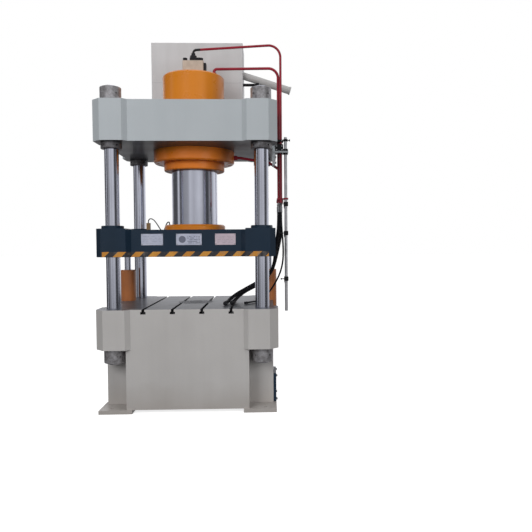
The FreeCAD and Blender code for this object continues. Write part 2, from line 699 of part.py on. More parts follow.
def ram_flange():
    z0 = SLIDE_TOP_Z
    z1 = z0 + RAM_FLANGE_H
    r = RAM_FLANGE_D / 2
    step_z = z0 + RAM_FOOT_H + FIT
    foot = RAM_FOOT_D / 2 + FIT
    neck = RAM_D / 2 + FIT
    flange = turned([(foot, z0), (r, z0), (r, z1 - RAM_FLANGE_EDGE), (r - RAM_FLANGE_EDGE, z1), (neck, z1),
                     (neck, step_z), (foot, step_z)])
    seats = on_circle(RAM_PCD, RAM_BOLTS)
    holes = [post(BOLT_D + 2 * FIT, z0 - 1, z1 + 1, at) for at in seats]
    holes += [post(BOLT_HEAD_D + 2, z1 - BOLT_HEAD_H, z1 + 1, at) for at in seats]
    return cut_all(flange, holes)


def ram_flange_bolts():
    seat = SLIDE_TOP_Z + RAM_FLANGE_H - BOLT_HEAD_H
    return Part.Compound([bolt(at, seat, RAM_FLANGE_H - BOLT_HEAD_H + BOLT_GRIP, down=True)
                          for at in on_circle(RAM_PCD, RAM_BOLTS)])


# ================================================================ slide
def slide_plan(inset=0.0):
    return inset_plan(SLIDE_X, SLIDE_Y, SLIDE_CHAMFER, SLIDE_LUG_FACE, LUG_STEP, SLIDE_SIDE_STEP, inset)


def slide_lug_tops():
    z0 = SLIDE_TOP_Z
    z1 = z0 + SLIDE_LUG_RISE
    lug = SLIDE_LUG_FACE + SLIDE_CHAMFER
    caps = prism(slide_plan(), z0, z1)
    areas = []
    for sx in (-1, 1):
        for sy in (-1, 1):
            x0, x1 = sorted((sx * (SLIDE_X - lug), sx * (SLIDE_X + 1)))
            y0, y1 = sorted((sy * (SLIDE_Y - lug), sy * (SLIDE_Y + 1)))
            areas.append(box(x0, x1, y0, y1, z0 - 1, z1 + 1))
    return caps.common(Part.Compound(areas))


def slide_frame():
    z1 = SLIDE_TOP_Z
    top = z1 + SLIDE_LUG_RISE
    frame = join_all(prism(slide_plan(), SLIDE_Z, z1), [slide_lug_tops()])
    hollow = prism(slide_plan(WALL), SLIDE_Z + SLIDE_PLATE_T, z1 - SLIDE_PLATE_T)
    keep = [post(SLIDE_BOSS_D, SLIDE_Z, top, at) for at in corners()]
    keep.append(post(RAM_FLANGE_D, SLIDE_Z, top))
    keep += [post(2 * SIDE_ROD_D, SLIDE_Z, top, (sx * SIDE_X, SIDE_Y)) for sx in (-1, 1)]
    keep.append(box(-SLIDE_X, SLIDE_X, -WEB_T / 2, WEB_T / 2, SLIDE_Z, top))
    keep.append(box(-WEB_T / 2, WEB_T / 2, -SLIDE_X, SLIDE_X, SLIDE_Z, top))
    frame = frame.cut(cut_all(hollow, keep))
    holes = [post(SLIDE_BUSH_D + 2 * FIT, SLIDE_Z - 1, top + 1, at) for at in corners()]
    holes += [post(BOLT_D + 2 * FIT, z1 - BOLT_GRIP - EASE, z1 + 1, at)
              for at in on_circle(RAM_PCD, RAM_BOLTS)]
    holes += [post(SIDE_ROD_D + 2 * FIT, SLIDE_Z - 1, SLIDE_Z + SIDE_ROD_GRIP, (sx * SIDE_X, SIDE_Y))
              for sx in (-1, 1)]
    for sx in (-1, 1):
        for sy in (-1, 1):
            holes.append(post(VENT_D, z1 - SLIDE_PLATE_T - 1, z1 + 1, (sx * VENT_X, sy * VENT_Y)))
    return cut_all(frame, holes)


def guide_bushes():
    top = SLIDE_TOP_Z + SLIDE_LUG_RISE
    return Part.Compound([ring(SLIDE_BUSH_D, COLUMN_D + 2 * RUN, SLIDE_Z, top, at) for at in corners()])


def bush_collars():
    z0 = SLIDE_TOP_Z + SLIDE_LUG_RISE
    r = COLLAR_D / 2
    bore = COLUMN_D / 2 + COLLAR_EASE
    z1 = z0 + COLLAR_H
    return Part.Compound([turned([(bore, z0), (r, z0), (r, z1 - 5), (r - 5, z1), (bore, z1)], at)
                          for at in corners()])


def name_plates():
    face_y = SLIDE_Y - LUG_STEP
    return Part.Compound([box(x - w / 2, x + w / 2, -face_y - PLATE_T, -face_y, PLATE_Z - PLATE_H / 2,
                              PLATE_Z + PLATE_H / 2) for x, w in PLATES])


def hazard_strip():
    """Tape along the slide's lower front edge, laid round the steps between plate and lugs."""
    z1 = TAPE_Z + TAPE_H
    half = SLIDE_X - SLIDE_CHAMFER - TAPE_SETBACK
    skin = prism(slide_plan(-TAPE_T), TAPE_Z, z1).cut(prism(slide_plan(), TAPE_Z - 1, z1 + 1))
    return skin.common(box(-half, half, -SLIDE_Y - 2 * TAPE_T, LUG_STEP - SLIDE_Y + TAPE_T, TAPE_Z - 1,
                           z1 + 1))


def striker():
    """Plate with a wedge on the slide's right side that trips the switches."""
    z0 = STRIKER_Z
    x0 = SLIDE_X - SLIDE_SIDE_STEP
    plate = box(x0, x0 + STRIKER_T, STRIKER_Y[0], STRIKER_Y[1], z0, z0 + STRIKER_H)
    nose_far = SLIDE_X + STRIKER_REACH
    outline = [(x0 + 4, 4), (nose_far - 8, 4), (nose_far, 12), (nose_far, 28), (nose_far - 8, 36),
               (x0 + 4, 36)]
    nose = [V(x, STRIKER_NOSE_Y, z0 + dz) for x, dz in outline]
    wedge = Part.Face(Part.makePolygon(nose + [nose[0]])).extrude(V(0, STRIKER_NOSE_W, 0))
    return join_all(plate, [wedge])


# ================================================================ side cylinders
def side_barrel(sx):
    r = SIDE_D / 2
    bore = SIDE_BORE_D / 2
    z1 = SIDE_TOP_Z - SIDE_HEAD_T
    floor = SIDE_BASE_Z + SIDE_BASE_T
    return turned([(0, SIDE_BASE_Z), (r, SIDE_BASE_Z), (r, z1), (bore, z1), (bore, floor), (0, floor)],
                  (sx * SIDE_X, SIDE_Y))


def side_heads():
    z0 = SIDE_TOP_Z - SIDE_HEAD_T
    r = SIDE_D / 2
    bore = SIDE_ROD_D / 2 + RUN
    spigot = SIDE_BORE_D / 2 - FIT
    heads = []
    for sx in (-1, 1):
        heads.append(turned([(bore, z0 - SIDE_SPIGOT), (spigot, z0 - SIDE_SPIGOT), (spigot, z0), (r, z0),
                             (r, SIDE_TOP_Z - 6), (r - 6, SIDE_TOP_Z), (bore, SIDE_TOP_Z)],
                            (sx * SIDE_X, SIDE_Y)))
    return Part.Compound(heads)


def side_rod(sx):
    """Piston rod of one side cylinder; its upper end is held in the slide."""
    r = SIDE_ROD_D / 2
    piston = SIDE_BORE_D / 2 - PISTON_GAP
    top = SLIDE_Z + SIDE_ROD_GRIP - EASE
    z1 = SIDE_PISTON_Z + SIDE_PISTON_T
    return turned([(0, SIDE_PISTON_Z), (piston, SIDE_PISTON_Z), (piston, z1), (r, z1), (r, top), (0, top)],
                  (sx * SIDE_X, SIDE_Y))


# ================================================================ ejector
def ejector_barrel():
    r = EJ_BARREL_D / 2
    bore = EJ_BORE_D / 2
    z1 = EJ_TOP_Z - EJ_GLAND_T
    floor = EJ_BASE_Z + EJ_BASE_T
    seat = DECK_Z + DECK_T
    return turned([(0, EJ_BASE_Z), (r, EJ_BASE_Z), (r, seat), (EJ_FLANGE_D / 2, seat),
                   (EJ_FLANGE_D / 2, seat + EJ_FLANGE_T), (r, seat + EJ_FLANGE_T), (r, z1), (bore, z1),
                   (bore, floor), (0, floor)])


def ejector_gland():
    z0 = EJ_TOP_Z - EJ_GLAND_T
    bore = EJ_ROD_D / 2 + RUN
    spigot = EJ_BORE_D / 2 - FIT
    r = EJ_BARREL_D / 2
    return turned([(bore, z0 - 20), (spigot, z0 - 20), (spigot, z0), (r, z0), (r, EJ_TOP_Z),
                   (bore, EJ_TOP_Z)])


def ejector_rod():
    z0 = EJ_BASE_Z + EJ_BASE_T + EJ_REST_GAP
    r = EJ_ROD_D / 2
    piston = EJ_BORE_D / 2 - PISTON_GAP
    top = TABLE_Z - PAD_T
    return turned([(0, z0), (piston, z0), (piston, z0 + EJ_PISTON_T), (r, z0 + EJ_PISTON_T), (r, top),
                   (0, top)])


def ejector_pad():
    r = PAD_D / 2
    z0 = TABLE_Z - PAD_T
    return turned([(0, z0), (r, z0), (r, TABLE_Z - 3), (r - 3, TABLE_Z), (0, TABLE_Z)])


# ================================================================ prefill valve and oil tank
def valve_block():
    block = box(VALVE_X0, VALVE_X1, VALVE_Y0, VALVE_Y1, CYL_TOP_Z, VALVE_TOP_Z)
    upright = [e for e in block.Edges if e.BoundBox.ZLength > VALVE_H - 1]
    block = block.makeChamfer(VALVE_EDGE, upright)
    chamber = post(FILL_PORT_D, CYL_TOP_Z - 1, VALVE_TOP_Z - 30)
    side = Part.makeCylinder(SUCTION_BORE_D / 2, VALVE_Y1 + 1, V(0, 0, SUCTION_Z), V(0, 1, 0))
    pilot = post(12, VALVE_TOP_Z - 31, VALVE_TOP_Z + 1, (PILOT_X, PILOT_Y))
    return cut_all(block, [chamber, side, pilot] + [screw_hole(at) for at in valve_corners()])


def valve_corners():
    return [(x, y) for x in (VALVE_X0 + VALVE_SCREW_IN, VALVE_X1 - VALVE_SCREW_IN)
            for y in (VALVE_Y0 + VALVE_SCREW_IN, VALVE_Y1 - VALVE_SCREW_IN)]


def screw_hole(at):
    return post(VALVE_SHANK_D + 2 * FIT, VALVE_TOP_Z - 45, VALVE_TOP_Z + 1, at)


def valve_screws():
    return Part.Compound([bolt(at, VALVE_TOP_Z, 44, VALVE_SHANK_D, VALVE_SCREW_D, VALVE_SCREW_H, down=True)
                          for at in valve_corners()])


def pilot_head():
    """Black pilot cover on the valve, with its hexagon and the side plug."""
    at = (PILOT_X, PILOT_Y)
    z0 = VALVE_TOP_Z
    z1 = z0 + PILOT_COVER_H
    z2 = z1 + PILOT_HEX_H
    z3 = z2 + PILOT_NECK_H
    cover = box(PILOT_X - 30, PILOT_X + 66, PILOT_Y - 32, PILOT_Y + 32, z0, z1)
    hexagon = [(PILOT_X + PILOT_HEX_R * math.cos(math.radians(a)),
                PILOT_Y + PILOT_HEX_R * math.sin(math.radians(a))) for a in range(0, 360, 60)]
    nut = prism(hexagon, z1, z2)
    neck = post(PILOT_PIPE_D + 14, z2, z3, at)
    bore = post(PILOT_PIPE_D - 2 * PIPE_WALL, z0 - 1, z3 + 1, at)
    seat = post(PILOT_PIPE_D + 2 * FIT, z3 - PILOT_SEAT, z3 + 1, at)
    head = join_all(cover, [nut, neck]).cut(bore).cut(seat)
    plug = box(VALVE_X1, VALVE_X1 + PLUG_T, VALVE_Y0 + 22, VALVE_Y0 + 82, CYL_TOP_Z + 30, CYL_TOP_Z + 110)
    return Part.Compound([head, plug])


def suction_pipe():
    """Short flanged pipe from the tank to the prefill valve."""
    def disc(d, y0, y1):
        return Part.makeCylinder(d / 2, y1 - y0, V(0, y0, SUCTION_Z), V(0, 1, 0))
    body = disc(SUCTION_D, VALVE_Y1, TANK_Y0)
    near = disc(SUCTION_FLANGE_D - 8, VALVE_Y1, VALVE_Y1 + SUCTION_FLANGE_T)
    far = disc(SUCTION_FLANGE_D, TANK_Y0 - SUCTION_FLANGE_T, TANK_Y0)
    return join_all(body, [near, far]).cut(disc(SUCTION_BORE_D, VALVE_Y1 - 1, TANK_Y0 + 1))


def oil_tank():
    z0 = CROWN_TOP_Z
    z1 = TANK_TOP_Z - TANK_LID_T
    tank = box(-TANK_X, TANK_X, TANK_Y0, TANK_Y1, z0, z1)
    upright = [e for e in tank.Edges if e.BoundBox.ZLength > z1 - z0 - 1]
    tank = tank.makeFillet(8, upright)
    inside = box(TANK_WALL - TANK_X, TANK_X - TANK_WALL, TANK_Y0 + TANK_WALL, TANK_Y1 - TANK_WALL,
                 z0 + TANK_WALL, z1 + 1)
    port = Part.makeCylinder(SUCTION_BORE_D / 2, 3 * TANK_WALL, V(0, TANK_Y0 - TANK_WALL, SUCTION_Z),
                             V(0, 1, 0))
    spout = Part.makeCylinder(SPOUT_BORE_D / 2, 3 * TANK_WALL,
                              V(TANK_X - 2 * TANK_WALL, SPOUT_Y, SPOUT_START_Z), V(1, 0, 0))
    return cut_all(tank, [inside, port, spout])


def tank_lid():
    return box(-TANK_X, TANK_X, TANK_Y0, TANK_Y1, TANK_TOP_Z - TANK_LID_T, TANK_TOP_Z)


def tank_spout():
    """Capped filler pipe that slopes down from the tank's right side."""
    start = V(TANK_X, SPOUT_Y, SPOUT_START_Z)
    end = V(SPOUT_END[0], SPOUT_Y, SPOUT_END[1])
    way = (end - start).normalize()
    back = start - way * 40
    length = (end - back).Length
    tube = Part.makeCylinder(SPOUT_D / 2, length, back, way)
    cap = Part.makeCylinder(SPOUT_CAP_D / 2, SPOUT_CAP_T, end - way * SPOUT_CAP_T, way)
    tube = join_all(tube, [cap]).cut(Part.makeCylinder(SPOUT_BORE_D / 2, length - SPOUT_CAP_T, back, way))
    return tube.cut(box(0, TANK_X, SPOUT_Y - SPOUT_D, SPOUT_Y + SPOUT_D, SPOUT_START_Z - 200,
                        SPOUT_START_Z + 200))


def drain_stub():
    bar = Part.makeCylinder(STUB_D / 2, STUB_LEN, V(TANK_X, STUB_Y, STUB_Z), V(1, 0, 0))
    nut = Part.makeCylinder(STUB_D * 0.8, STUB_D, V(TANK_X + STUB_LEN - 1, STUB_Y, STUB_Z), V(1, 0, 0))
    return join_all(bar, [nut])


# ================================================================ pipes
def pilot_pipe():
    x, y = PILOT_PIPE_AT
    neck_z = VALVE_TOP_Z + PILOT_COVER_H + PILOT_HEX_H + PILOT_NECK_H
    return rigid_pipe([(PILOT_X, PILOT_Y, neck_z - PILOT_SEAT),
                       (PILOT_X, PILOT_Y, VALVE_TOP_Z + PILOT_RISE[0]),
                       (x, y, VALVE_TOP_Z + PILOT_RISE[1]), (x, y, PIPE_END_Z)],
                      PILOT_PIPE_D, PIPE_WALL, PILOT_BENDS)


def main_pipe():
    x, y = MAIN_PIPE_AT
    port_x, port_y = MAIN_PORT
    return rigid_pipe([(port_x, port_y, CYL_TOP_Z), (port_x, port_y, CYL_TOP_Z + MAIN_RISE[0]),
                       (x, y, CYL_TOP_Z + MAIN_RISE[1]), (x, y, PIPE_END_Z)],
                      MAIN_PIPE_D, PIPE_WALL, MAIN_BENDS)


def back_pipe():
    x, y = BACK_PIPE_AT
    start_x = FLANGE_D / 2
    return rigid_pipe([(start_x, y, BACK_PORT_Z), (start_x + BACK_RUN, y, BACK_PORT_Z),
                       (x - 100, y, BACK_PORT_Z - BACK_DROP[0]), (x, y, BACK_PORT_Z - BACK_DROP[1]),
                       (x, y, PIPE_END_Z)], MAIN_PIPE_D, PIPE_WALL, [BACK_BEND_R] * 3)


def pipe_tie():
    """Plate that joins the pipes' lower ends to the switch rail."""
    z1 = TIE_Z + TIE_T
    edge = RAIL_D / 2 + 8
    plate = box(TIE_X0, CLAMP_X, TIE_Y[0], TIE_Y[1], TIE_Z, z1)
    arm = box(CLAMP_X, RAIL_X + edge, RAIL_Y - edge, TIE_ARM_Y, TIE_Z, z1)
    return cut_all(join_all(plate, [arm]), clamp_bores())


def pipe_unions():
    """Screwed unions and the tie at the pipes' lower ends, and collars at the two cylinder ports."""
    unions = []
    for at, d in ((PILOT_PIPE_AT, PILOT_PIPE_D), (MAIN_PIPE_AT, MAIN_PIPE_D), (BACK_PIPE_AT, MAIN_PIPE_D)):
        r = d / 2 + PORT_COLLAR
        hexagon = [(at[0] + r * math.cos(math.radians(a)), at[1] + r * math.sin(math.radians(a)))
                   for a in range(0, 360, 60)]
        nut = prism(hexagon, PIPE_END_Z, PIPE_END_Z + UNION_H)
        unions.append(nut.cut(post(d + 2 * FIT, PIPE_END_Z - 1, PIPE_END_Z + UNION_H + 1, at)))
    unions.append(ring(MAIN_PIPE_D + 2 * PORT_COLLAR, MAIN_PIPE_D + 2 * FIT, CYL_TOP_Z, CYL_TOP_Z + 14,
                       MAIN_PORT))
    x0 = math.sqrt((FLANGE_D / 2) ** 2 - (abs(BACK_PIPE_AT[1]) + MAIN_PIPE_D / 2 + PORT_COLLAR) ** 2)
    collar = Part.makeCylinder(MAIN_PIPE_D / 2 + PORT_COLLAR, 34, V(x0, BACK_PIPE_AT[1], BACK_PORT_Z),
                               V(1, 0, 0))
    bore = Part.makeCylinder(MAIN_PIPE_D / 2 + FIT, 60, V(x0 - 1, BACK_PIPE_AT[1], BACK_PORT_Z), V(1, 0, 0))
    collar = collar.cut(bore).cut(post(FLANGE_D, FLANGE_Z, CROWN_Z))
    unions.append(collar)
    unions.append(pipe_tie())
    return Part.Compound(unions)


def pipe_bracket():
    """Flat bar on the crown's side with a shelf for the clamps and the rail."""
    x0 = SIDE_FACE_X - LUG_STEP
    bar = box(x0, x0 + BAR_T, BAR_Y0, BAR_Y1, BAR_Z0, BAR_Z1)
    shelf = box(x0, SHELF_X, BAR_Y0 - 6, BAR_Y1 + 20, SHELF_Z, SHELF_Z + SHELF_T)
    bracket = join_all(bar, [shelf])
    holes = [post(RAIL_D + 2 * FIT, SHELF_Z - 1, SHELF_Z + SHELF_T + 1, (RAIL_X, RAIL_Y))]
    holes += [post(PILOT_PIPE_D + 2 * EASE, SHELF_Z - 1, SHELF_Z + SHELF_T + 1, PILOT_PIPE_AT),
              post(MAIN_PIPE_D + 2 * EASE, SHELF_Z - 1, SHELF_Z + SHELF_T + 1, MAIN_PIPE_AT)]
    return cut_all(bracket, holes)


def clamp_bores():
    bores = []
    for at, d in ((PILOT_PIPE_AT, PILOT_PIPE_D), (MAIN_PIPE_AT, MAIN_PIPE_D), (BACK_PIPE_AT, MAIN_PIPE_D),
                  ((RAIL_X, RAIL_Y), RAIL_D)):
        bores.append(post(d + 2 * FIT, PIPE_END_Z, CLAMP_HIGH[1] + 1, at))
    return bores


def pipe_clamps():
    """Two clamps above the shelf and the collars that hold the rail."""
    x0 = SIDE_FACE_X - LUG_STEP + BAR_T
    low = box(x0, CLAMP_X, CLAMP_Y[0], CLAMP_Y[1], CLAMP_LOW[0], CLAMP_LOW[1])
    high = box(x0, CLAMP_X, CLAMP_Y[0], CLAMP_Y[1], CLAMP_HIGH[0], CLAMP_HIGH[1])
    return Part.Compound([cut_all(piece, clamp_bores()) for piece in (low, high)] + rail_collars())


# ================================================================ switch rail
def switch_rail():
    return ring(RAIL_D, RAIL_BORE_D, RAIL_Z0, RAIL_Z1, (RAIL_X, RAIL_Y))


def rail_collars():
    """Set collars that hold the rail on the shelf, the upper one with a knob."""
    at = (RAIL_X, RAIL_Y)
    shelf_top = SHELF_Z + SHELF_T
    low = ring(RAIL_D + 18, RAIL_D + 2 * FIT, shelf_top, shelf_top + 20, at)
    under = ring(RAIL_D + 14, RAIL_D + 2 * FIT, SHELF_Z - 16, SHELF_Z, at)
    top = ring(RAIL_D + 12, RAIL_D + 2 * FIT, CLAMP_HIGH[0], CLAMP_HIGH[1], at)
    middle_z = (CLAMP_HIGH[0] + CLAMP_HIGH[1]) / 2
    stem = Part.makeCylinder(4, 16, V(RAIL_X + RAIL_D / 2 + 3, RAIL_Y, middle_z), V(1, 0, 0))
    knob = Part.makeCylinder(9, 10, V(RAIL_X + RAIL_D / 2 + 17, RAIL_Y, middle_z), V(1, 0, 0))
    return [low, under, join_all(top, [stem, knob])]


def limit_switch(z):
    """Switch body clamped round the rail, with the pin its lever turns on."""
    body = box(RAIL_X - SWITCH_W / 2, RAIL_X + SWITCH_W / 2, SWITCH_Y0, SWITCH_Y1, z - SWITCH_H / 2,
               z + SWITCH_H / 2)
    upright = [e for e in body.Edges if e.BoundBox.YLength > SWITCH_Y1 - SWITCH_Y0 - 1]
    body = body.makeFillet(4, upright)
    body = body.cut(post(RAIL_D + 2 * FIT, z - SWITCH_H, z + SWITCH_H, (RAIL_X, RAIL_Y)))
    pin_x = RAIL_X - SWITCH_W / 2 + LEVER_PIN_IN
    pin = Part.makeCylinder(LEVER_PIN_D / 2, LEVER_T + 3, V(pin_x, SWITCH_Y0 - LEVER_T - 3, z), V(0, 1, 0))
    return join_all(body, [pin])


def switch_lever(z):
    """Roller lever in front of the switch body; it turns on the body's pin."""
    pin_x = RAIL_X - SWITCH_W / 2 + LEVER_PIN_IN
    y0 = SWITCH_Y0 - LEVER_GAP - LEVER_T
    roller_x = pin_x - LEVER_LEN
    hub = Part.makeCylinder(8, LEVER_T, V(pin_x, y0, z), V(0, 1, 0))
    arm = box(roller_x, pin_x, y0, y0 + LEVER_T, z - 4, z + 4)
    roller = Part.makeCylinder(ROLLER_D / 2, ROLLER_W, V(roller_x, y0 + LEVER_T - ROLLER_W, z), V(0, 1, 0))
    lever = join_all(hub, [arm, roller])
    return lever.cut(Part.makeCylinder(LEVER_PIN_D / 2 + RUN, 40, V(pin_x, y0 - 20, z), V(0, 1, 0)))


# ================================================================ hoses and lubrication line
def ferrule(points, d, length):
    """Crimped sleeve at the top end of a hose, between the pipe's union and the hose."""
    x, y, z = points[0]
    top = PIPE_END_Z
    r = d / 2 + 4
    neck = d / 2 - 2
    return turned([(0, z), (r, z), (r, z + length * 0.62), (neck, z + length * 0.7), (neck, top), (0, top)],
                  (x, y))


def end_fitting(points, d):
    """Steel coupling on the free end of a hose, lying along the hose's last run."""
    last = V(*points[-1])
    way = (last - V(*points[-2])).normalize()
    sleeve = Part.makeCylinder(d / 2 + 2, 1.6 * d, last, way)
    nut_start = last + way * (1.6 * d)
    nut = Part.makeCylinder(d / 2 + 1, 0.9 * d, nut_start, way)
    bore = Part.makeCylinder(d / 4, 1.4 * d, last + way * (1.2 * d), way)
    return join_all(sleeve, [nut]).cut(bore)


def hose_fittings():
    fittings = []
    for route, d in ((MAIN_HOSE, HOSE_D), (BACK_HOSE, HOSE_D), (THIN_HOSE, THIN_HOSE_D)):
        points = hang(route)
        fittings.append(ferrule(points, d, FERRULE_H))
        fittings.append(end_fitting(points, d))
    return Part.Compound(fittings)


def lube_block():
    """Block on the slide that the lubrication line starts from."""
    x, y, z = lay_lube_line()[0]
    return box(x + LUBE_BLOCK_X[0], x + LUBE_BLOCK_X[1], y + LUBE_BLOCK_Y[0], y + LUBE_BLOCK_Y[1],
               SLIDE_TOP_Z, z)


# ================================================================ all pieces
def pieces():
    parts = {
        "bed_frame": bed_frame(),
        "bed_side_cover": bed_side_cover(),
        "bed_nuts": nuts(TABLE_Z - BED_LUG_H - BED_NUT_H, BED_NUT_H),
        "crown_lock_nuts": nuts(CROWN_Z - LOCK_NUT_H, LOCK_NUT_H),
        "crown_top_nuts": nuts(CROWN_TOP_Z, TOP_NUT_H),
        "crown_frame": crown_frame(),
        "main_cylinder": main_cylinder(),
        "cylinder_bolts": cylinder_bolts(),
        "gland_ring": gland_ring(),
        "ram_seals": ram_seals(),
        "ram_bush": ram_bush(),
        "ram": ram(),
        "ram_flange": ram_flange(),
        "ram_flange_bolts": ram_flange_bolts(),
        "slide_frame": slide_frame(),
        "guide_bushes": guide_bushes(),
        "bush_collars": bush_collars(),
        "name_plates": name_plates(),
        "hazard_strip": hazard_strip(),
        "striker": striker(),
        "side_heads": side_heads(),
        "ejector_barrel": ejector_barrel(),
        "ejector_gland": ejector_gland(),
        "ejector_rod": ejector_rod(),
        "ejector_pad": ejector_pad(),
        "valve_block": valve_block(),
        "valve_screws": valve_screws(),
        "pilot_head": pilot_head(),
        "suction_pipe": suction_pipe(),
        "oil_tank": oil_tank(),
        "tank_lid": tank_lid(),
        "tank_spout": tank_spout(),
        "drain_stub": drain_stub(),
        "pilot_pipe": pilot_pipe(),
        "main_pipe": main_pipe(),
        "back_pipe": back_pipe(),
        "pipe_unions": pipe_unions(),
        "pipe_bracket": pipe_bracket(),
        "pipe_clamps": pipe_clamps(),
        "switch_rail": switch_rail(),
        "main_hose": hose("main_hose", hang(MAIN_HOSE), HOSE_D),
        "back_hose": hose("back_hose", hang(BACK_HOSE), HOSE_D),
        "thin_hose": hose("thin_hose", hang(THIN_HOSE), THIN_HOSE_D),
        "lube_line": hose("lube_line", lay_lube_line(), LUBE_D),
        "lube_block": lube_block(),
        "hose_fittings": hose_fittings(),
    }
    for (x, y), name in zip(corners(), ("column_front_left", "column_rear_left", "column_front_right",
                                        "column_rear_right")):
        parts[name] = column((x, y))
    for sx, side in ((-1, "left"), (1, "right")):
        parts["side_barrel_" + side] = side_barrel(sx)
        parts["side_rod_" + side] = side_rod(sx)
    for z, name in zip(SWITCH_Z, SWITCH_NAMES):
        parts["limit_switch_" + name] = limit_switch(z)
        parts["switch_lever_" + name] = switch_lever(z)
    return parts


os.makedirs("parts", exist_ok=True)
for node, shape in pieces().items():
    shape.exportStep("parts/" + node + ".step")
    print(node, len(shape.Solids), "solid(s)", round(shape.Volume / 1e6, 3), "litres", shape.isValid())
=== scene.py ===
# %% [markdown]
# # A four-column hydraulic press
#
# A big press is a tower: a welded bed on the floor, four chromed columns, a welded crown, and a slide that a
# fat ram pushes down between them. Its shape is already built and packed, so this script only gives it its
# looks: paint that has run a little thick, ground chrome, raw steel nuts, rubber hoses and the small fittings.
# Everything is in metres, with the origin on the floor under the ram, +X to the operator's right and -Y
# towards the operator.

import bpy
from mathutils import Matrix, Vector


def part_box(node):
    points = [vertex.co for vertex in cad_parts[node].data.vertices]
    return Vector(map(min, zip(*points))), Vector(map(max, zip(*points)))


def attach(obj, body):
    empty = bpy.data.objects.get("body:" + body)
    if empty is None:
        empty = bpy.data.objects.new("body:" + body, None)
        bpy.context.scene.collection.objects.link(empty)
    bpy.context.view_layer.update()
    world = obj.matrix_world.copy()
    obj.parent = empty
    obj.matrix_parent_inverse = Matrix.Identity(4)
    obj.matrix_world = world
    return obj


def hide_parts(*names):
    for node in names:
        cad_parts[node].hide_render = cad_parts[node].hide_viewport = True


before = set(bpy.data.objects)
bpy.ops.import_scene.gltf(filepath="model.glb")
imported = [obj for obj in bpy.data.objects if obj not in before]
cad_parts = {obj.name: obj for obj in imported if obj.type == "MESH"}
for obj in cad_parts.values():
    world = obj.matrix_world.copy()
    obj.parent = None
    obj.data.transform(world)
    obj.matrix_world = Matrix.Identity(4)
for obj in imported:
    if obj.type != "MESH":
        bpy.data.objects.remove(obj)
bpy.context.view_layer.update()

# %% Tools of the trade
import math

import bmesh
import bpy
from mathutils import Matrix, Vector

# %% [markdown]
# ## The camera
#
# A machine this tall is photographed from chest height, a few steps back. A lens of about 39 mm on a full
# frame keeps the columns almost parallel. A press that stands left of the middle of its picture could be
# caught by turning the camera, which would make the columns lean; a small sideways shift of the lens keeps
# them upright, so most of the framing is done that way.

# %% Camera
CAMERA_PLACE = Vector((0.6775, -5.4913, 1.4259))
CAMERA_LENS = 39.32
TURN, TILT, ROLL = 0.0323, -0.0391, -0.0057


def make_camera():
    """Point the camera: turned right, tilted down a little, and rolled by a third of a degree."""
    lens = bpy.data.cameras.new("press_camera")
    lens.lens = CAMERA_LENS
    lens.shift_x = -0.0385
    camera = bpy.data.objects.new("press_camera", lens)
    camera.matrix_world = (Matrix.Translation(CAMERA_PLACE) @ Matrix.Rotation(-TURN, 4, "Z")
                           @ Matrix.Rotation(math.pi / 2 + TILT, 4, "X") @ Matrix.Rotation(ROLL, 4, "Z"))
    bpy.context.scene.collection.objects.link(camera)
    bpy.context.scene.camera = camera


make_camera()
print("camera", CAMERA_PLACE[:], "lens", CAMERA_LENS)

# %% [markdown]
# ## Nodes without clutter
#
# Every finish below is a small tree of shader nodes. Writing each node and each link by hand hides what the
# tree does, so a tiny helper class adds a node, sets its sockets and links in one call. A pattern always
# starts from the object's own coordinates. Each piece sits at the origin with its place in its mesh, so these
# are metres in the press's frame, and a pattern runs on from one piece to the next.

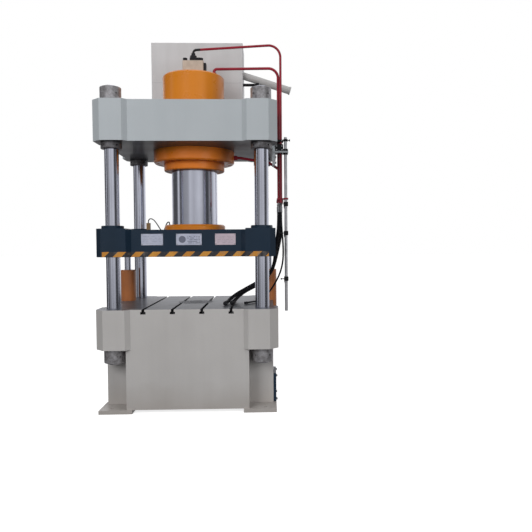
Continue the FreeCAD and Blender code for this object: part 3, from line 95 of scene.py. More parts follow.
# %% A small node writer
class Finish:
    """One material: add() makes a node, and a socket's value may be another node's output."""

    def __init__(self, name):
        self.material = bpy.data.materials.new(name)
        self.material.use_nodes = True
        self.tree = self.material.node_tree
        self.shader = self.tree.nodes["Principled BSDF"]
        self.place = self.add("ShaderNodeTexCoord").outputs["Object"]

    def add(self, kind, settings=None, **sockets):
        node = self.tree.nodes.new(kind)
        for name, value in (settings or {}).items():
            setattr(node, name, value)
        for name, value in sockets.items():
            socket = node.inputs[int(name[1:])] if name[1:].isdigit() else node.inputs[name.replace("_", " ")]
            self.feed(socket, value)
        return node

    def feed(self, socket, value):
        """Link an output to a socket, or set the socket to a constant."""
        if isinstance(value, bpy.types.NodeSocket):
            self.tree.links.new(value, socket)
        else:
            socket.default_value = value

    def scaled(self, scale, offset=(0, 0, 0)):
        """The object's coordinates, stretched and moved."""
        return self.add("ShaderNodeMapping", Vector=self.place, Scale=scale, Location=offset).outputs["Vector"]

    def noise(self, scale, detail=3.0, stretch=(1, 1, 1), rough=0.5):
        """Cloudy grey between 0 and 1; scale is in blotches per metre."""
        return self.add("ShaderNodeTexNoise", Vector=self.scaled(stretch), Scale=scale, Detail=detail,
                        Roughness=rough).outputs["Fac"]

    def math(self, operation, a, b=0.0, c=0.0, clamp=False):
        return self.add("ShaderNodeMath", {"operation": operation, "use_clamp": clamp}, _0=a, _1=b,
                        _2=c).outputs["Value"]

    def span(self, value, low, high, to_low=0.0, to_high=1.0):
        """Stretch low..high to to_low..to_high, clamped."""
        return self.add("ShaderNodeMapRange", Value=value, From_Min=low, From_Max=high, To_Min=to_low,
                        To_Max=to_high).outputs["Result"]

    def mix(self, share, a, b, how="MIX"):
        """Blend two colours."""
        node = self.add("ShaderNodeMix", {"data_type": "RGBA", "blend_type": how})
        self.feed(node.inputs["Factor"], share)
        for socket, value in ((node.inputs[6], a), (node.inputs[7], b)):
            self.feed(socket, value if isinstance(value, bpy.types.NodeSocket) else (*value, 1.0))
        return node.outputs[2]

    def bump(self, height, strength, distance, under=None):
        """A bumpy normal, laid on another bumpy normal if one is given."""
        sockets = {"Height": height, "Strength": strength, "Distance": distance}
        if under is not None:
            sockets["Normal"] = under
        return self.add("ShaderNodeBump", **sockets).outputs["Normal"]

    def every(self, first, *others):
        """The product of shares: 1 only where all of them are 1."""
        for share in others:
            first = self.math("MULTIPLY", first, share)
        return first

    def split(self, vector):
        parts = self.add("ShaderNodeSeparateXYZ", Vector=vector)
        return parts.outputs["X"], parts.outputs["Y"], parts.outputs["Z"]

    def xyz(self):
        return self.split(self.place)

    def normal(self):
        return self.split(self.add("ShaderNodeTexCoord").outputs["Normal"])

    def surface(self, **sockets):
        """Set or link sockets of the shader, by their names with _ for a space."""
        for name, value in sockets.items():
            if name == "Base_Color" and not isinstance(value, bpy.types.NodeSocket):
                value = (*value, 1.0)
            self.feed(self.shader.inputs[name.replace("_", " ")], value)
        return self


def dress(finish, *nodes):
    """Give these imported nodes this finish."""
    for name in nodes:
        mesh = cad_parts[name].data
        mesh.materials.clear()
        mesh.materials.append(finish.material)


# %% [markdown]
# ## Sprayed machine paint
#
# The bed, crown, slide and cylinders were sprayed by hand over filler. Such paint is never flat: it has a fine
# orange-peel skin, broad cloudy patches where the coat is thicker, faint vertical runs, and a film of dust that
# takes the gloss off low and upward-facing places. Each of these is one noise, at its own size, and one
# function makes every painted finish from its colour and its gloss. A finish keeps its colour and roughness,
# so that a later helper can lay a local change over them: grime at the foot, painted light on the cylinder as
# a brighter orange that fades out just under the crown, painted shade under the crown, and bare steel on the
# table with painted shade in its slots.

# %% Paint
DUST = (0.30, 0.285, 0.26)


def paint(name, colour, darker, gloss=0.35, cloud=1.6, dust=0.25, runs=0.25, peel=0.12, coat=0.2):
    """A sprayed coat. colour and darker are the two ends of its cloudy patches."""
    f = Finish(name)
    patches = f.noise(cloud, 4.0)
    streaks = f.noise(9.0, 3.0, (1, 1, 0.08))
    tone = f.math("ADD", f.span(patches, 0.3, 0.7, 0.0, 1.0 - runs), f.span(streaks, 0.35, 0.65, 0.0, runs))
    coloured = f.mix(tone, darker, colour)
    speck = f.span(f.noise(160.0, 2.0), 0.66, 0.74, 0.0, 0.35)
    coloured = f.mix(speck, coloured, tuple(c * 0.7 for c in darker))
    up = f.span(f.normal()[2], 0.6, 1.0)
    settled = f.every(up, f.span(f.noise(14.0, 5.0), 0.35, 0.7), dust)
    f.coloured = f.mix(settled, coloured, DUST)
    f.rough = f.math("ADD", f.span(f.noise(5.0, 5.0), 0.3, 0.7, gloss, gloss + 0.14), settled)
    skin = f.bump(f.noise(260.0, 2.0), peel, 0.0006)
    f.skin = f.bump(f.noise(7.0, 1.0), 0.10, 0.004, skin)
    return f.surface(Base_Color=f.coloured, Roughness=f.rough, Normal=f.skin, Coat_Weight=coat,
                     Coat_Roughness=0.12)


def tint(f, share, colour):
    """Lay another colour over a paint where share is 1."""
    f.coloured = f.mix(share, f.coloured, colour)
    return f.surface(Base_Color=f.coloured)


def fade_up(f, low, high, colour, most):
    """A colour that thins out upwards between two heights with a ragged edge: dirt at the bed's foot, and a
    brighter orange on the cylinder that is painted light.
    """
    ragged = f.math("ADD", f.xyz()[2], f.span(f.noise(6.0, 5.0), 0.2, 0.8, -0.06, 0.06))
    return tint(f, f.span(ragged, low, high, most, 0.0), colour)


def weld_line(f, height, half=0.004):
    """A flat seam ground level round a tank: a shallow ridge and a slightly darker line."""
    away = f.math("ABSOLUTE", f.math("SUBTRACT", f.xyz()[2], height))
    seam = f.span(away, 0.0, half, 1.0, 0.0)
    tint(f, f.math("MULTIPLY", seam, 0.35), (0.25, 0.25, 0.26))
    return f.surface(Normal=f.bump(seam, 0.4, 0.002, f.skin))


def shade_painted_below(f, colour, most):
    """Painted shade: faces that look down are painted a dark colour, fully where they face nearly straight
    down.
    """
    return tint(f, f.span(f.normal()[2], -0.9, -0.6, most, 0.0), colour)


# %% Painted finishes
PIPE_REDS = ((0.34, 0.012, 0.030), (0.24, 0.009, 0.022))
BLACK_BEFORE_X = 0.07      # the pilot pipe starts black, up to here
TANK_SEAM_Z = 3.005
TABLE_ABOVE_Z = 0.8775
SLOT_REACH = 0.08          # the T-slots are not deeper than this
SLOT_AREA_X = 0.5          # and none is farther out
SLOT_PAINTED_SHADE = (0.02, 0.02, 0.022)

BED_PAINT = paint("bed_paint", (0.545, 0.53, 0.52), (0.475, 0.46, 0.45))
CROWN_PAINT = paint("crown_paint", (0.475, 0.51, 0.535), (0.42, 0.455, 0.48), coat=0.15)
ORANGE_PAINT = paint("orange_paint", (0.69, 0.225, 0.010), (0.55, 0.16, 0.007), 0.24, peel=0.2, coat=0.15)
CYLINDER_PAINT = paint("cylinder_paint", (0.69, 0.225, 0.010), (0.57, 0.17, 0.007), 0.24, peel=0.2, coat=0.15)
# Painted light: the gland ring and the cylinder bolts get a brighter copy of the cylinder's orange.
GLAND_PAINTED_LIGHT = paint("gland_painted_light", (0.90, 0.255, 0.028), (0.76, 0.21, 0.022), 0.34, coat=0.1)
SIDE_PAINT = paint("side_cylinder_paint", (0.45, 0.155, 0.045), (0.32, 0.11, 0.04), 0.32, 5.0, coat=0.2)
SLIDE_PAINT = paint("slide_paint", (0.006, 0.021, 0.043), (0.004, 0.015, 0.030), 0.30, dust=0.1, coat=0.1)
PIPE_PAINT = paint("pipe_paint", *PIPE_REDS, 0.28, 12.0)
PILOT_PIPE_PAINT = paint("pilot_pipe_paint", *PIPE_REDS, 0.28, 12.0)
TANK_PAINT = paint("tank_paint", (0.64, 0.635, 0.645), (0.55, 0.54, 0.545), 0.42, runs=0.45)
VALVE_PAINT = paint("valve_paint", (0.58, 0.49, 0.41), (0.40, 0.33, 0.27), 0.5, 18.0)
SPOUT_PAINT = paint("spout_paint", (0.48, 0.47, 0.465), (0.39, 0.38, 0.375), 0.4)
TAN_PAINT = paint("tan_paint", (0.40, 0.24, 0.11), (0.30, 0.18, 0.08), 0.45, 20.0)

fade_up(BED_PAINT, -0.03, 0.26, (0.30, 0.25, 0.21), 0.45)
# Painted light: up to about 2.24 m the cylinder is painted a brighter orange, which fades out upwards to the
# plain orange just under the crown.
fade_up(CYLINDER_PAINT, 2.24, 2.31, (0.94, 0.25, 0.028), 0.85)
# Painted shade: the crown's downward faces are painted near black.
shade_painted_below(CROWN_PAINT, (0.10, 0.10, 0.115), 0.9)
SLIDE_PAINT.shader.inputs["Specular IOR Level"].default_value = 0.38
weld_line(TANK_PAINT, TANK_SEAM_Z)
tint(PILOT_PIPE_PAINT, PILOT_PIPE_PAINT.math("LESS_THAN", PILOT_PIPE_PAINT.xyz()[0], BLACK_BEFORE_X),
     (0.012, 0.012, 0.014))


def bare_table(f, height):
    """Machined steel on the bed's top face, with cutter marks and stains, and the walls inside the slots
    painted near black as painted shade.
    """
    x, _, z = f.xyz()
    _, forward, up = f.normal()
    face = f.every(f.math("GREATER_THAN", z, height), f.span(up, 0.9, 0.95))
    marks = f.noise(1.0, 2.0, (4, 260.0, 1))
    steel = f.mix(f.span(f.noise(7.0, 5.0), 0.3, 0.7), (0.15, 0.155, 0.17), (0.23, 0.24, 0.275))
    steel = f.mix(f.span(marks, 0.3, 0.7, 0.0, 0.4), steel, (0.11, 0.11, 0.125))
    # Painted shade: the walls inside the T-slots are painted near black.
    slot_walls = f.every(f.math("GREATER_THAN", z, height - SLOT_REACH), f.math("LESS_THAN", z, height),
                         f.math("LESS_THAN", f.math("ABSOLUTE", x), SLOT_AREA_X),
                         f.math("LESS_THAN", f.math("ABSOLUTE", forward), 0.5))
    f.coloured = f.mix(slot_walls, f.mix(face, f.coloured, steel), SLOT_PAINTED_SHADE)
    f.rough = f.math("ADD", f.every(f.rough, f.math("SUBTRACT", 1.0, face)), f.every(face, 0.5))
    return f.surface(Base_Color=f.coloured, Roughness=f.rough, Metallic=f.every(face, 0.5))


bare_table(BED_PAINT, TABLE_ABOVE_Z)
dress(BED_PAINT, "bed_frame")
dress(CROWN_PAINT, "crown_frame", "pipe_bracket")
dress(CYLINDER_PAINT, "main_cylinder")
dress(ORANGE_PAINT, "ram_flange", "ejector_barrel")
dress(GLAND_PAINTED_LIGHT, "gland_ring", "cylinder_bolts")
dress(SIDE_PAINT, "side_barrel_left", "side_barrel_right", "side_heads")
dress(SLIDE_PAINT, "slide_frame", "bed_side_cover", "bush_collars")
dress(PIPE_PAINT, "main_pipe", "back_pipe", "pipe_unions")
dress(PILOT_PIPE_PAINT, "pilot_pipe")
dress(TANK_PAINT, "oil_tank", "tank_lid", "suction_pipe")
dress(VALVE_PAINT, "valve_block")
dress(SPOUT_PAINT, "tank_spout")
dress(TAN_PAINT, "lube_block")

# %% [markdown]
# ## Ground chrome
#
# The columns and rods are ground round and round before they are plated, so under the mirror there are very
# fine rings across the shaft. They blur a reflection up and down but keep it crisp from side to side, which is
# why a chromed column shows tall clean bands of light and dark. Anisotropic gloss could fake this; a noise
# squeezed into thin rings does it from the surface itself.

# %% Chrome
def ground_chrome(name, shade=(0.67, 0.69, 0.78), rough=0.09, rings=900.0):
    """Hard chrome with rings ground across it, rings to the metre, and a faint uneven haze."""
    f = Finish(name)
    rings_noise = f.noise(1.0, 2.0, (1.5, 1.5, rings))
    haze = f.noise(6.0, 4.0, (1, 1, 0.35))
    coloured = f.mix(f.span(haze, 0.35, 0.7), shade, tuple(c * 0.86 for c in shade))
    roughness = f.math("ADD", f.span(haze, 0.3, 0.75, rough, rough + 0.10),
                       f.span(rings_noise, 0.3, 0.7, 0, 0.05))
    return f.surface(Base_Color=coloured, Roughness=roughness, Metallic=1.0,
                     Normal=f.bump(rings_noise, 0.08, 0.0003))


CHROME = ground_chrome("column_chrome")
dress(CHROME, "column_front_left", "column_rear_left", "column_front_right", "column_rear_right", "ram",
      "side_rod_left", "side_rod_right", "ejector_rod")

# %% [markdown]
# ## Raw and plated steel
#
# The nuts are cut from rough forged stock: a mottled grey with rust-brown freckles and turning marks. The
# screws are black oxide, the limit-switch rail is bright zinc.

# %% Steel
def raw_steel(name, light, dark, rough=0.38, rust=0.35, metallic=0.9, mottle=30.0):
    """Mottled steel between two greys, with rust freckles and turning marks."""
    f = Finish(name)
    spots = f.noise(mottle, 6.0, rough=0.65)
    freckle = f.span(f.noise(70.0, 4.0), 0.55, 0.75, 0.0, rust)
    coloured = f.mix(f.span(spots, 0.35, 0.65), dark, light)
    coloured = f.mix(freckle, coloured, (0.16, 0.085, 0.04))
    turning = f.noise(1.0, 2.0, (3, 3, 700.0))
    return f.surface(Base_Color=coloured, Metallic=metallic,
                     Roughness=f.math("ADD", f.span(spots, 0.3, 0.7, rough + 0.12, rough), freckle),
                     Normal=f.bump(turning, 0.15, 0.0004, f.bump(spots, 0.25, 0.0008)))


NUT_STEEL = raw_steel("nut_steel", (0.56, 0.55, 0.57), (0.27, 0.26, 0.265), rust=0.25, metallic=0.7)
LOCK_STEEL = raw_steel("lock_nut_steel", (0.31, 0.305, 0.32), (0.12, 0.115, 0.12), rust=0.25,
                       metallic=0.7)
MACHINED = raw_steel("machined_steel", (0.60, 0.60, 0.61), (0.42, 0.42, 0.43), 0.25, 0.08)
OXIDE = raw_steel("black_oxide", (0.035, 0.035, 0.04), (0.015, 0.015, 0.018), 0.42, 0.05, 0.6)
PAD_STEEL = raw_steel("pad_steel", (0.22, 0.225, 0.25), (0.14, 0.145, 0.16), 0.5, 0.1, 0.5)
ZINC = raw_steel("zinc_rail", (0.72, 0.72, 0.74), (0.58, 0.58, 0.60), 0.30, 0.03, 0.7, 12.0)
BRONZE = raw_steel("turned_bronze", (0.55, 0.33, 0.13), (0.38, 0.21, 0.07), 0.3, 0.1)
dress(NUT_STEEL, "bed_nuts", "crown_top_nuts")
dress(LOCK_STEEL, "crown_lock_nuts")
dress(PAD_STEEL, "ejector_pad", "ejector_gland")
dress(OXIDE, "ram_flange_bolts", "valve_screws", "pilot_head", "drain_stub", "striker",
      "switch_lever_upper", "switch_lever_middle", "switch_lever_lower")
dress(ZINC, "switch_rail")
dress(BRONZE, "guide_bushes", "ram_bush")

# %% [markdown]
# ## Rubber and moulded plastic

# %% Rubber and plastic
def rubber(name, colour=(0.007, 0.007, 0.009), rough=0.5, grain=500.0):
    """A dull black with a fine grain, rubbed greyer in patches."""
    f = Finish(name)
    worn = f.span(f.noise(40.0, 4.0), 0.35, 0.75)
    f.shader.inputs["Specular IOR Level"].default_value = 0.2
    return f.surface(Base_Color=f.mix(worn, colour, tuple(c * 2.4 for c in colour)),
                     Roughness=f.span(f.noise(25.0, 3.0), 0.3, 0.7, rough, rough + 0.2),
                     Normal=f.bump(f.noise(grain, 2.0), 0.2, 0.0004))


HOSE_RUBBER = rubber("hose_rubber")
SEAL_RUBBER = rubber("seal_rubber", (0.02, 0.02, 0.02), 0.6)
BLACK_PLASTIC = rubber("black_plastic", (0.010, 0.010, 0.011), 0.35, 900.0)
dress(SEAL_RUBBER, "ram_seals", "main_hose", "back_hose", "thin_hose", "lube_line")
dress(BLACK_PLASTIC, "pipe_clamps", "limit_switch_upper", "limit_switch_middle", "limit_switch_lower")

# %% [markdown]
# ## Warning tape and plates
#
# The tape under the slide's front edge has slanting bars, orange and black. A bar is a place where x minus z,
# counted in pitches, has a fraction below a half, so the pattern runs on round the corners of the slide.
# The plates are thin metal with dark printed rows. Their rows are only bars, broken by a noise, inside each
# plate's margin, and they are faint on the outer plates; the middle plate has a plain disc at its left.

# %% Tape and plates
STRIPE_PITCH = 0.140
STRIPE_START = 0.040
PLATES = ((-0.283, 0.180), (0.022, 0.212), (0.325, 0.171))
PLATE_Z = 1.463
PLATE_H = 0.094
ROW_PITCH = 0.0135
PLATE_MARGIN = 0.014
DISC_X = PLATES[1][0] - 0.055
DISC_R = 0.029
DISC_CLEAR = 0.040         # half of the strip round the disc that holds no rows


def striped_tape(name):
    """Slanting bars, orange and near black, scuffed in places."""
    f = Finish(name)
    x, _, z = f.xyz()
    turns = f.math("DIVIDE", f.math("SUBTRACT", f.math("SUBTRACT", x, STRIPE_START), z), STRIPE_PITCH)
    bar = f.math("LESS_THAN", f.math("FRACT", turns), 0.5)
    worn = f.span(f.noise(24.0, 5.0), 0.55, 0.75, 0.0, 0.5)
    yellow = f.mix(f.span(f.noise(9.0, 3.0), 0.3, 0.7), (0.50, 0.20, 0.03), (0.62, 0.29, 0.05))
    coloured = f.mix(bar, (0.03, 0.03, 0.035), yellow)
    return f.surface(Base_Color=f.mix(worn, coloured, (0.20, 0.18, 0.16)), Roughness=0.42,
                     Normal=f.bump(f.noise(120.0, 2.0), 0.15, 0.0005))


def inside(f, value, middle, half):
    """1 where a coordinate is within half of a middle."""
    return f.math("LESS_THAN", f.math("ABSOLUTE", f.math("SUBTRACT", value, middle)), half)


def printed_plate(name):
    """Brushed plates with broken rows for print, a disc on the middle one, and the right one pink."""
    f = Finish(name)
    x, _, z = f.xyz()
    margin = 0.0
    for middle, width in PLATES:
        margin = f.math("MAXIMUM", margin, inside(f, x, middle, width / 2 - PLATE_MARGIN))
    row = f.math("LESS_THAN", f.math("FRACT", f.math("DIVIDE", z, ROW_PITCH)), 0.38)
    words = f.math("GREATER_THAN", f.noise(1.0, 2.0, (75.0, 1.0, 74.0)), 0.47)
    across = f.math("SUBTRACT", x, DISC_X)
    down = f.math("SUBTRACT", z, PLATE_Z)
    reach = f.math("SQRT", f.math("ADD", f.every(across, across), f.every(down, down)))
    beside_disc = f.math("SUBTRACT", 1.0, inside(f, across, 0.0, DISC_CLEAR))
    rows = f.every(margin, inside(f, z, PLATE_Z, PLATE_H / 2 - 0.012), row, words, beside_disc)
    print_share = f.math("MAXIMUM", rows, f.math("LESS_THAN", reach, DISC_R))
    faint = f.span(f.math("ABSOLUTE", f.math("SUBTRACT", x, PLATES[1][0])), 0.12, 0.14, 0.75, 0.25)
    sheet = f.mix(f.span(f.noise(11.0, 4.0), 0.3, 0.7), (0.46, 0.49, 0.61), (0.60, 0.62, 0.73))
    sheet = f.mix(f.every(f.math("GREATER_THAN", x, 0.2), 0.5), sheet, (0.70, 0.47, 0.49))
    return f.surface(Base_Color=f.mix(f.every(print_share, faint), sheet, (0.05, 0.06, 0.10)),
                     Metallic=0.35, Roughness=f.span(f.noise(30.0, 3.0), 0.3, 0.7, 0.28, 0.42),
                     Normal=f.bump(f.noise(1.0, 2.0, (900.0, 1.0, 4.0)), 0.06, 0.0003))


dress(printed_plate("plate_print"), "name_plates")
dress(striped_tape("warning_tape"), "hazard_strip")

# %% [markdown]
# ## The hoses
#
# The press is ready to be shipped, so its three hydraulic hoses are unplugged from the power unit. They hang
# from the red pipes, drop outside the slide, swing round the right column and lie with their ends on the bed.
# A hose is a thick springy tube: it can't turn sharply, so its route is a few points that a smooth spline
# pulls into long bends.

# %% Hose routes
HOSE_D = 0.032
THIN_HOSE_D = 0.016
LUBE_D = 0.010
MAIN_HOSE = [(0.784, -0.058, 1.715), (0.784, -0.058, 1.634), (0.778, -0.057, 1.540), (0.764, -0.054, 1.445),
             (0.750, -0.046, 1.352), (0.744, -0.032, 1.262), (0.722, -0.008, 1.180), (0.676, 0.022, 1.118),
             (0.613, 0.042, 1.074), (0.541, 0.042, 1.036), (0.461, 0.018, 0.994), (0.381, -0.036, 0.952),
             (0.331, -0.108, 0.916), (0.313, -0.190, 0.897), (0.305, -0.270, 0.897)]
BACK_HOSE = [(0.800, -0.014, 1.715), (0.800, -0.014, 1.634), (0.803, -0.011, 1.545), (0.792, -0.006, 1.452),
             (0.770, 0.004, 1.358), (0.750, 0.016, 1.268), (0.726, 0.040, 1.186), (0.682, 0.066, 1.112),
             (0.619, 0.084, 1.056), (0.547, 0.084, 1.012), (0.469, 0.062, 0.974), (0.409, 0.008, 0.936),
             (0.375, -0.072, 0.904), (0.363, -0.160, 0.897), (0.359, -0.240, 0.897)]
THIN_HOSE = [(0.806, -0.095, 1.715), (0.806, -0.095, 1.640), (0.811, -0.093, 1.552), (0.820, -0.088, 1.446),
             (0.824, -0.080, 1.338), (0.817, -0.068, 1.237), (0.792, -0.054, 1.145), (0.752, -0.040, 1.062),
             (0.704, -0.036, 0.988), (0.652, -0.048, 0.928), (0.598, -0.084, 0.892), (0.541, -0.136, 0.8885),
             (0.491, -0.200, 0.8885)]
LUBE_LINE = [(-0.514, 0.380, 1.636), (-0.514, 0.380, 1.658), (-0.500, 0.378, 1.680), (-0.468, 0.374, 1.676),
             (-0.436, 0.368, 1.642), (-0.408, 0.356, 1.600), (-0.380, 0.328, 1.563), (-0.356, 0.284, 1.551),
             (-0.338, 0.230, 1.551), (-0.324, 0.176, 1.551), (-0.312, 0.130, 1.556), (-0.298, 0.088, 1.578),
             (-0.282, 0.056, 1.606), (-0.264, 0.032, 1.628), (-0.248, 0.016, 1.634), (-0.240, 0.008, 1.620),
             (-0.240, 0.008, 1.601)]


def tube_along(name, route, diameter, finish, node, body):
    """A round flexible tube on one smooth spline through the pull of its route's points."""
    curve = bpy.data.curves.new(name, "CURVE")
    curve.dimensions = "3D"
    curve.bevel_depth = diameter / 2
    curve.bevel_resolution = 5
    curve.use_fill_caps = True
    spline = curve.splines.new("NURBS")
    spline.points.add(len(route) - 1)
    for point, place in zip(spline.points, route):
        point.co = (*place, 1.0)
    spline.order_u = 3
    spline.use_endpoint_u = True
    spline.resolution_u = 12
    curve.materials.append(finish.material)
    tube = bpy.data.objects.new(name, curve)
    bpy.context.scene.collection.objects.link(tube)
    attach(tube, body)
    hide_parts(node)
    return tube


hoses = {
    "main": tube_along("main_hose_cover", MAIN_HOSE, HOSE_D, HOSE_RUBBER, "main_hose", "frame"),
    "back": tube_along("back_hose_cover", BACK_HOSE, HOSE_D, HOSE_RUBBER, "back_hose", "frame"),
    "thin": tube_along("thin_hose_cover", THIN_HOSE, THIN_HOSE_D, HOSE_RUBBER, "thin_hose", "frame"),
}
lube_line = tube_along("lube_line_cover", LUBE_LINE, LUBE_D, HOSE_RUBBER, "lube_line", "slide")

# %% [markdown]
# ## Turned and hexagonal fittings
#
# A hose ends in a steel shell that a press has crimped on in a few bites, and in a hexagonal nut. Anything
# made on a lathe is an outline spun about an axis, so one helper spins an outline, and another takes a round
# cylinder of six sides for a nut and rounds its corners off with a bevel.

# %% Helpers that make pieces
SMOOTH_BELOW = math.radians(32)


def in_order(bm):
    """The same shape with its points and faces sorted, since a spin or a bevel leaves them in any order."""
    points = sorted(bm.verts, key=lambda v: v.co[:])
    rank = {v: i for i, v in enumerate(points)}
    rings = []
    for face in bm.faces:
        ring = [rank[v] for v in face.verts]
        first = ring.index(min(ring))
        rings.append(ring[first:] + ring[:first])
    ordered = bmesh.new()
    verts = [ordered.verts.new(v.co) for v in points]
    for ring in sorted(rings):
        ordered.faces.new([verts[i] for i in ring])
    ordered.normal_update()
    bm.free()
    return ordered


def keep_piece(bm, name, finish, body, matrix=None):
    """Move a shape to its place, close and turn its faces outwards, and make it ride on a body."""
    if matrix is not None:
        bmesh.ops.transform(bm, matrix=matrix, verts=bm.verts)
    bmesh.ops.remove_doubles(bm, verts=bm.verts, dist=1e-6)
    bmesh.ops.recalc_face_normals(bm, faces=bm.faces)
    bm = in_order(bm)
    for face in bm.faces:
        face.smooth = True
    for edge in bm.edges:
        edge.smooth = edge.calc_face_angle(0.0) < SMOOTH_BELOW
    mesh = bpy.data.meshes.new(name)
    bm.to_mesh(mesh)
    bm.free()
    mesh.materials.append(finish.material)
    piece = bpy.data.objects.new(name, mesh)
    bpy.context.scene.collection.objects.link(piece)
    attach(piece, body)
    return piece


def spin_into(bm, outline, steps=40, matrix=None):
    """Spin an outline of (radius, height) points once round +Z, with both ends on the axis or closed."""
    verts = [bm.verts.new((r, 0, h)) for r, h in outline]
    edges = [bm.edges.new(pair) for pair in zip(verts, verts[1:])]
    before = set(bm.verts) - set(verts)
    bmesh.ops.spin(bm, geom=verts + edges, cent=(0, 0, 0), axis=(0, 0, 1), angle=2 * math.pi,
                   steps=steps, use_merge=True)
    new = [v for v in bm.verts if v not in before]
    if matrix is not None:
        bmesh.ops.transform(bm, matrix=matrix, verts=new)
    bmesh.ops.remove_doubles(bm, verts=new, dist=1e-6)


def hexagon_into(bm, flat_width, low, high, bevel=0.0012, turn=0.0, matrix=None):
    """A hexagonal nut about +Z between two heights, its edges broken."""
    corner = flat_width / 2 / math.cos(math.pi / 6)
    place = Matrix.Translation((0, 0, (low + high) / 2)) @ Matrix.Rotation(turn, 4, "Z")
    if matrix is not None:
        place = matrix @ place
    made = bmesh.ops.create_cone(bm, cap_ends=True, segments=6, radius1=corner, radius2=corner,
                                 depth=high - low, matrix=place)
    edges = list(dict.fromkeys(e for v in made["verts"] for e in v.link_edges))
    bmesh.ops.bevel(bm, geom=edges, offset=bevel, segments=2, profile=0.5, affect="EDGES", material=-1)


def facing(place, way):
    """The place of a piece whose own +Z points along way."""
    return Matrix.Translation(place) @ Vector(way).to_track_quat("Z", "X").to_matrix().to_4x4()


# %% Hose fittings
UNION_Z = 1.800
CRIMPS = 5


def crimped_shell(radius, neck, low, high):
    """The outline of a shell with shallow crimped waists between two heights."""
    outline = [(neck, low), (radius - 0.002, low), (radius, low + 0.003)]
    pitch = (high - low - 0.012) / CRIMPS
    for i in range(CRIMPS):
        z = low + 0.006 + i * pitch
        outline += [(radius, z), (radius - 0.0022, z + 0.25 * pitch), (radius - 0.0022, z + 0.6 * pitch),
                    (radius, z + 0.85 * pitch)]
    return outline + [(radius, high - 0.003), (radius - 0.003, high), (neck, high)]


def hose_ferrule(name, route, diameter):
    """The crimped shell under a pipe's union, with its stem and a small hexagon."""
    x, y, z = route[0]
    r = diameter / 2
    shell_top = z + 0.052
    bm = bmesh.new()
    spin_into(bm, [(0, z)] + crimped_shell(r + 0.004, r - 0.004, z, shell_top) + [(0, shell_top)])
    spin_into(bm, [(0, shell_top), (r - 0.002, shell_top), (r - 0.002, UNION_Z), (0, UNION_Z)])
    hexagon_into(bm, 2 * r + 0.002, shell_top + 0.006, shell_top + 0.022)
    return keep_piece(bm, name, MACHINED, "frame", Matrix.Translation((x, y, 0)))


def hose_coupling(name, route, diameter):
    """The free end of a hose: a crimped shell, a hexagonal nut and the open cone in its mouth."""
    r = diameter / 2
    shell = 1.6 * diameter
    nut = shell + 0.9 * diameter
    bm = bmesh.new()
    spin_into(bm, [(0, -0.002)] + crimped_shell(r + 0.002, r - 0.003, -0.002, shell) + [(0, shell)])
    spin_into(bm, [(0, nut - 0.010), (0.55 * r, nut - 0.010), (0.8 * r, nut), (r + 0.0002, nut - 0.001),
                   (r + 0.0002, shell), (0, shell)])
    hexagon_into(bm, 2 * r + 0.003, shell + 0.003, nut - 0.003, turn=math.pi / 6)
    return keep_piece(bm, name, OXIDE, "frame",
                      facing(route[-1], Vector(route[-1]) - Vector(route[-2])))


for key, route, diameter in (("main", MAIN_HOSE, HOSE_D), ("back", BACK_HOSE, HOSE_D),
                             ("thin", THIN_HOSE, THIN_HOSE_D)):
    hose_ferrule(key + "_hose_ferrule", route, diameter)
    hose_coupling(key + "_hose_coupling", route, diameter)
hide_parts("hose_fittings")

# %% [markdown]
# ## Screws and rivets
#
# The small fasteners sell the size of a big machine. Each kind is one spun outline or one hexagon on a washer,
# put down at every place of its pattern by a matrix, and the whole set is one piece.

# %% Small fasteners
def rivet_into(bm, place, r=0.0042):
    """A flat dome."""
    spin_into(bm, [(0, 0.0018), (0.5 * r, 0.0016), (0.85 * r, 0.0009), (r, 0.0001), (0, 0.0001)], 12, place)


def hex_screw_into(bm, place, width=0.022, height=0.011):
    """A hexagon head on a washer."""
    spin_into(bm, [(0, 0.0002), (0.72 * width, 0.0002), (0.72 * width, 0.0022), (0, 0.0022)], 24, place)
    hexagon_into(bm, width, 0.0022, 0.0022 + height, 0.0016, matrix=place)


def cap_screw_into(bm, place, r=0.009, height=0.010):
    """A socket cap screw: a rounded head with a round mouth for the key."""
    spin_into(bm, [(0, 0.0002), (r, 0.0002), (r, 0.85 * height), (0.88 * r, height), (0.52 * r, height),
                   (0.5 * r, 0.45 * height), (0, 0.45 * height)], 24, place)


OPERATOR_WAY = (0, -1, 0)
RIGHT_WAY = (1, 0, 0)
RIVET_IN = 0.007           # from a plate's edge to its rivet
plate_face_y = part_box("name_plates")[0][1]
bm = bmesh.new()
for middle, width in PLATES:
    for sx in (-1, 1):
        for sz in (-1, 1):
            rivet_into(bm, facing((middle + sx * (width / 2 - RIVET_IN), plate_face_y,
                                   PLATE_Z + sz * (PLATE_H / 2 - RIVET_IN)), OPERATOR_WAY))
keep_piece(bm, "plate_rivets", MACHINED, "slide")

cover_low, cover_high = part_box("bed_side_cover")
SCREW_IN = 0.022
bm = bmesh.new()
for y in (cover_low[1] + SCREW_IN, cover_high[1] - SCREW_IN):
    for z in (cover_low[2] + SCREW_IN, cover_high[2] - SCREW_IN):
        hex_screw_into(bm, facing((cover_high[0], y, z), RIGHT_WAY), 0.018, 0.009)
keep_piece(bm, "side_cover_screws", NUT_STEEL, "frame")

CLAMP_FRONT = -0.118
CLAMP_SCREWS = ((0.766, 2.285), (0.766, 2.318), (0.816, 2.285), (0.816, 2.318), (0.766, 2.367), (0.816, 2.367))
bm = bmesh.new()
for x, z in CLAMP_SCREWS:
    cap_screw_into(bm, facing((x, CLAMP_FRONT, z), OPERATOR_WAY), 0.006, 0.007)
keep_piece(bm, "clamp_screws", MACHINED, "frame")

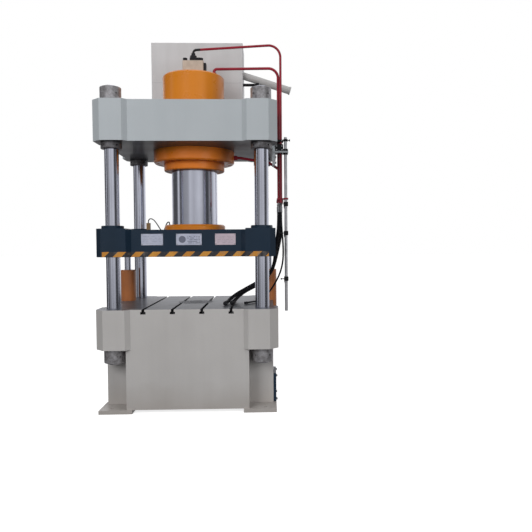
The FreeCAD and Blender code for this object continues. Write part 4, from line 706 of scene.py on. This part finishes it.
BRACKET_SCREWS = (2.165, 2.215, 2.385)
bm = bmesh.new()
for z in BRACKET_SCREWS:
    hex_screw_into(bm, facing((0.7515, -0.128, z), RIGHT_WAY), 0.019, 0.010)
keep_piece(bm, "bracket_screws", ZINC, "frame")
print("fasteners made", 4 * len(PLATES) + 4 + len(CLAMP_SCREWS) + len(BRACKET_SCREWS))

# %% [markdown]
# ## Cable glands on the switches
#
# Each limit switch has a gland under it where its cable would enter. It is a spun sleeve with a hexagonal cap
# nut, and it is empty here, as the press stands disconnected.

# %% Glands
def gland_into(bm, x, y, top):
    """An empty cable gland that hangs from a switch."""
    place = Matrix.Translation((x, y, top))
    spin_into(bm, [(0, 0), (0.0065, 0), (0.0065, -0.007), (0.0055, -0.008), (0.0055, -0.018), (0.004, -0.020),
                   (0.004, -0.012), (0, -0.012)], 24, place)
    hexagon_into(bm, 0.015, -0.007, -0.002, 0.0008, matrix=place)


for key in ("upper", "middle", "lower"):
    low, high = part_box("limit_switch_" + key)
    bm = bmesh.new()
    gland_into(bm, low[0] + 0.008, high[1] - 0.008, low[2])
    keep_piece(bm, key + "_switch_gland", BLACK_PLASTIC, "frame")

# %% [markdown]
# ## Studio
#
# A pale floor, a pale room and broad soft lights. Chrome and gloss paint show whatever stands round them, so
# the room that reflections see has tall lighter and darker bands, as a workshop with windows has. They come
# from one ramp around the compass, and they fade below the horizon. Soft light from the room itself comes from
# above only. So the undersides of the crown and the slide fall into shade, as they do indoors.

# %% Floor
FLOOR_HALF = 60.0
FLOOR_GLOW = 0.75          # lifts the floor to the white of the backdrop


def make_floor():
    bm = bmesh.new()
    bmesh.ops.create_grid(bm, x_segments=2, y_segments=2, size=FLOOR_HALF)
    mesh = bpy.data.meshes.new("studio_floor")
    bm.to_mesh(mesh)
    bm.free()
    f = Finish("studio_floor")
    cloud = f.noise(0.7, 3.0)
    f.surface(Base_Color=f.mix(cloud, (0.80, 0.80, 0.80), (0.84, 0.84, 0.84)), Roughness=0.85)
    f.shader.inputs["Emission Color"].default_value = (1, 1, 1, 1)
    f.shader.inputs["Emission Strength"].default_value = FLOOR_GLOW
    mesh.materials.append(f.material)
    floor = bpy.data.objects.new("studio_floor", mesh)
    floor.visible_diffuse = False
    floor.visible_glossy = False
    bpy.context.scene.collection.objects.link(floor)


make_floor()

# %% Room
# Angle from straight ahead of the press, to the operator's right, in degrees, and brightness
BANDS = ((-90, 0.25), (-82, 0.95), (-74, 0.12), (-62, 0.07), (-54, 0.32), (-26, 0.42), (-18, 0.72), (0, 0.55),
         (28, 0.72), (45, 0.58), (52, 0.09), (77, 0.06), (85, 0.30), (103, 0.38), (118, 0.80), (180, 1.0),
         (222, 0.80), (229, 0.10), (266, 0.08), (270, 0.25))
SOFT_ABOVE = 0.42
SOFT_BELOW = 0.03


def add_node(tree, kind, **inputs):
    """A node with its inputs set or linked, by name or by _number."""
    node = tree.nodes.new(kind)
    for name, value in inputs.items():
        socket = node.inputs[int(name[1:])] if name[1:].isdigit() else node.inputs[name.replace("_", " ")]
        if isinstance(value, bpy.types.NodeSocket):
            tree.links.new(value, socket)
        else:
            socket.default_value = value
    return node


def choose(tree, share, a, b):
    """Go from a to b as share goes from 0 to 1."""
    node = tree.nodes.new("ShaderNodeMix")
    node.data_type = "RGBA"
    tree.links.new(share, node.inputs["Factor"])
    for socket, value in ((node.inputs[6], a), (node.inputs[7], b)):
        if isinstance(value, bpy.types.NodeSocket):
            tree.links.new(value, socket)
        else:
            socket.default_value = (value, value, value, 1)
    return node.outputs[2]


def make_room():
    world = bpy.data.worlds.new("studio_room")
    world.use_nodes = True
    bpy.context.scene.world = world
    tree = world.node_tree
    where = tree.nodes.new("ShaderNodeTexCoord")
    split = add_node(tree, "ShaderNodeSeparateXYZ", _0=where.outputs["Generated"])
    compass = add_node(tree, "ShaderNodeMath", _0=split.outputs["Y"], _1=split.outputs["X"])
    compass.operation = "ARCTAN2"
    share = add_node(tree, "ShaderNodeMapRange", Value=compass.outputs[0], From_Min=-math.pi,
                     From_Max=math.pi)
    ramp = add_node(tree, "ShaderNodeValToRGB", Fac=share.outputs[0])
    stops = ramp.color_ramp.elements
    while len(stops) < len(BANDS):
        stops.new(0.5)
    for stop, (angle, light) in zip(stops, BANDS):
        stop.position = (angle + 90) / 360
        stop.color = (light, light, light * 1.03, 1)
    low_share = add_node(tree, "ShaderNodeMapRange", Value=split.outputs["Z"], From_Min=-0.20, From_Max=0.0,
                         To_Min=0.25, To_Max=1.0)
    banded = choose(tree, low_share.outputs[0], 0.0, ramp.outputs["Color"])
    above = add_node(tree, "ShaderNodeMapRange", Value=split.outputs["Z"], From_Min=-0.08,
                     From_Max=0.12)
    soft = choose(tree, above.outputs[0], SOFT_BELOW, SOFT_ABOVE)
    seen = tree.nodes.new("ShaderNodeLightPath")
    light = choose(tree, seen.outputs["Is Glossy Ray"], soft, banded)
    light = choose(tree, seen.outputs["Is Camera Ray"], light, 1.0)
    background = tree.nodes["Background"]
    tree.links.new(light, background.inputs["Color"])
    background.inputs["Strength"].default_value = 1.0


make_room()

# %% Lights
# Name, place, aim, size and watts
LAMPS = (("key_light", (-3.0, -6.5, 3.6), (0, 0, 1.7), (3.0, 3.5), 230),
         ("fill_light", (4.8, -5.0, 2.4), (0, 0, 1.5), (2.5, 3.5), 120),
         ("top_light", (0, -0.5, 6.5), (0, 0, 1.0), (4.0, 4.0), 60))


def soft_light(name, place, aim, size, watts):
    """A broad lamp that lights the paint but leaves the reflections to the room."""
    lamp = bpy.data.lights.new(name, "AREA")
    lamp.shape = "RECTANGLE"
    lamp.size, lamp.size_y = size
    lamp.energy = watts
    light = bpy.data.objects.new(name, lamp)
    way = Vector(aim) - Vector(place)
    light.matrix_world = Matrix.Translation(place) @ way.to_track_quat("-Z", "Y").to_matrix().to_4x4()
    light.visible_glossy = False
    bpy.context.scene.collection.objects.link(light)


for lamp_row in LAMPS:
    soft_light(*lamp_row)

bpy.context.scene.view_settings.view_transform = "Standard"
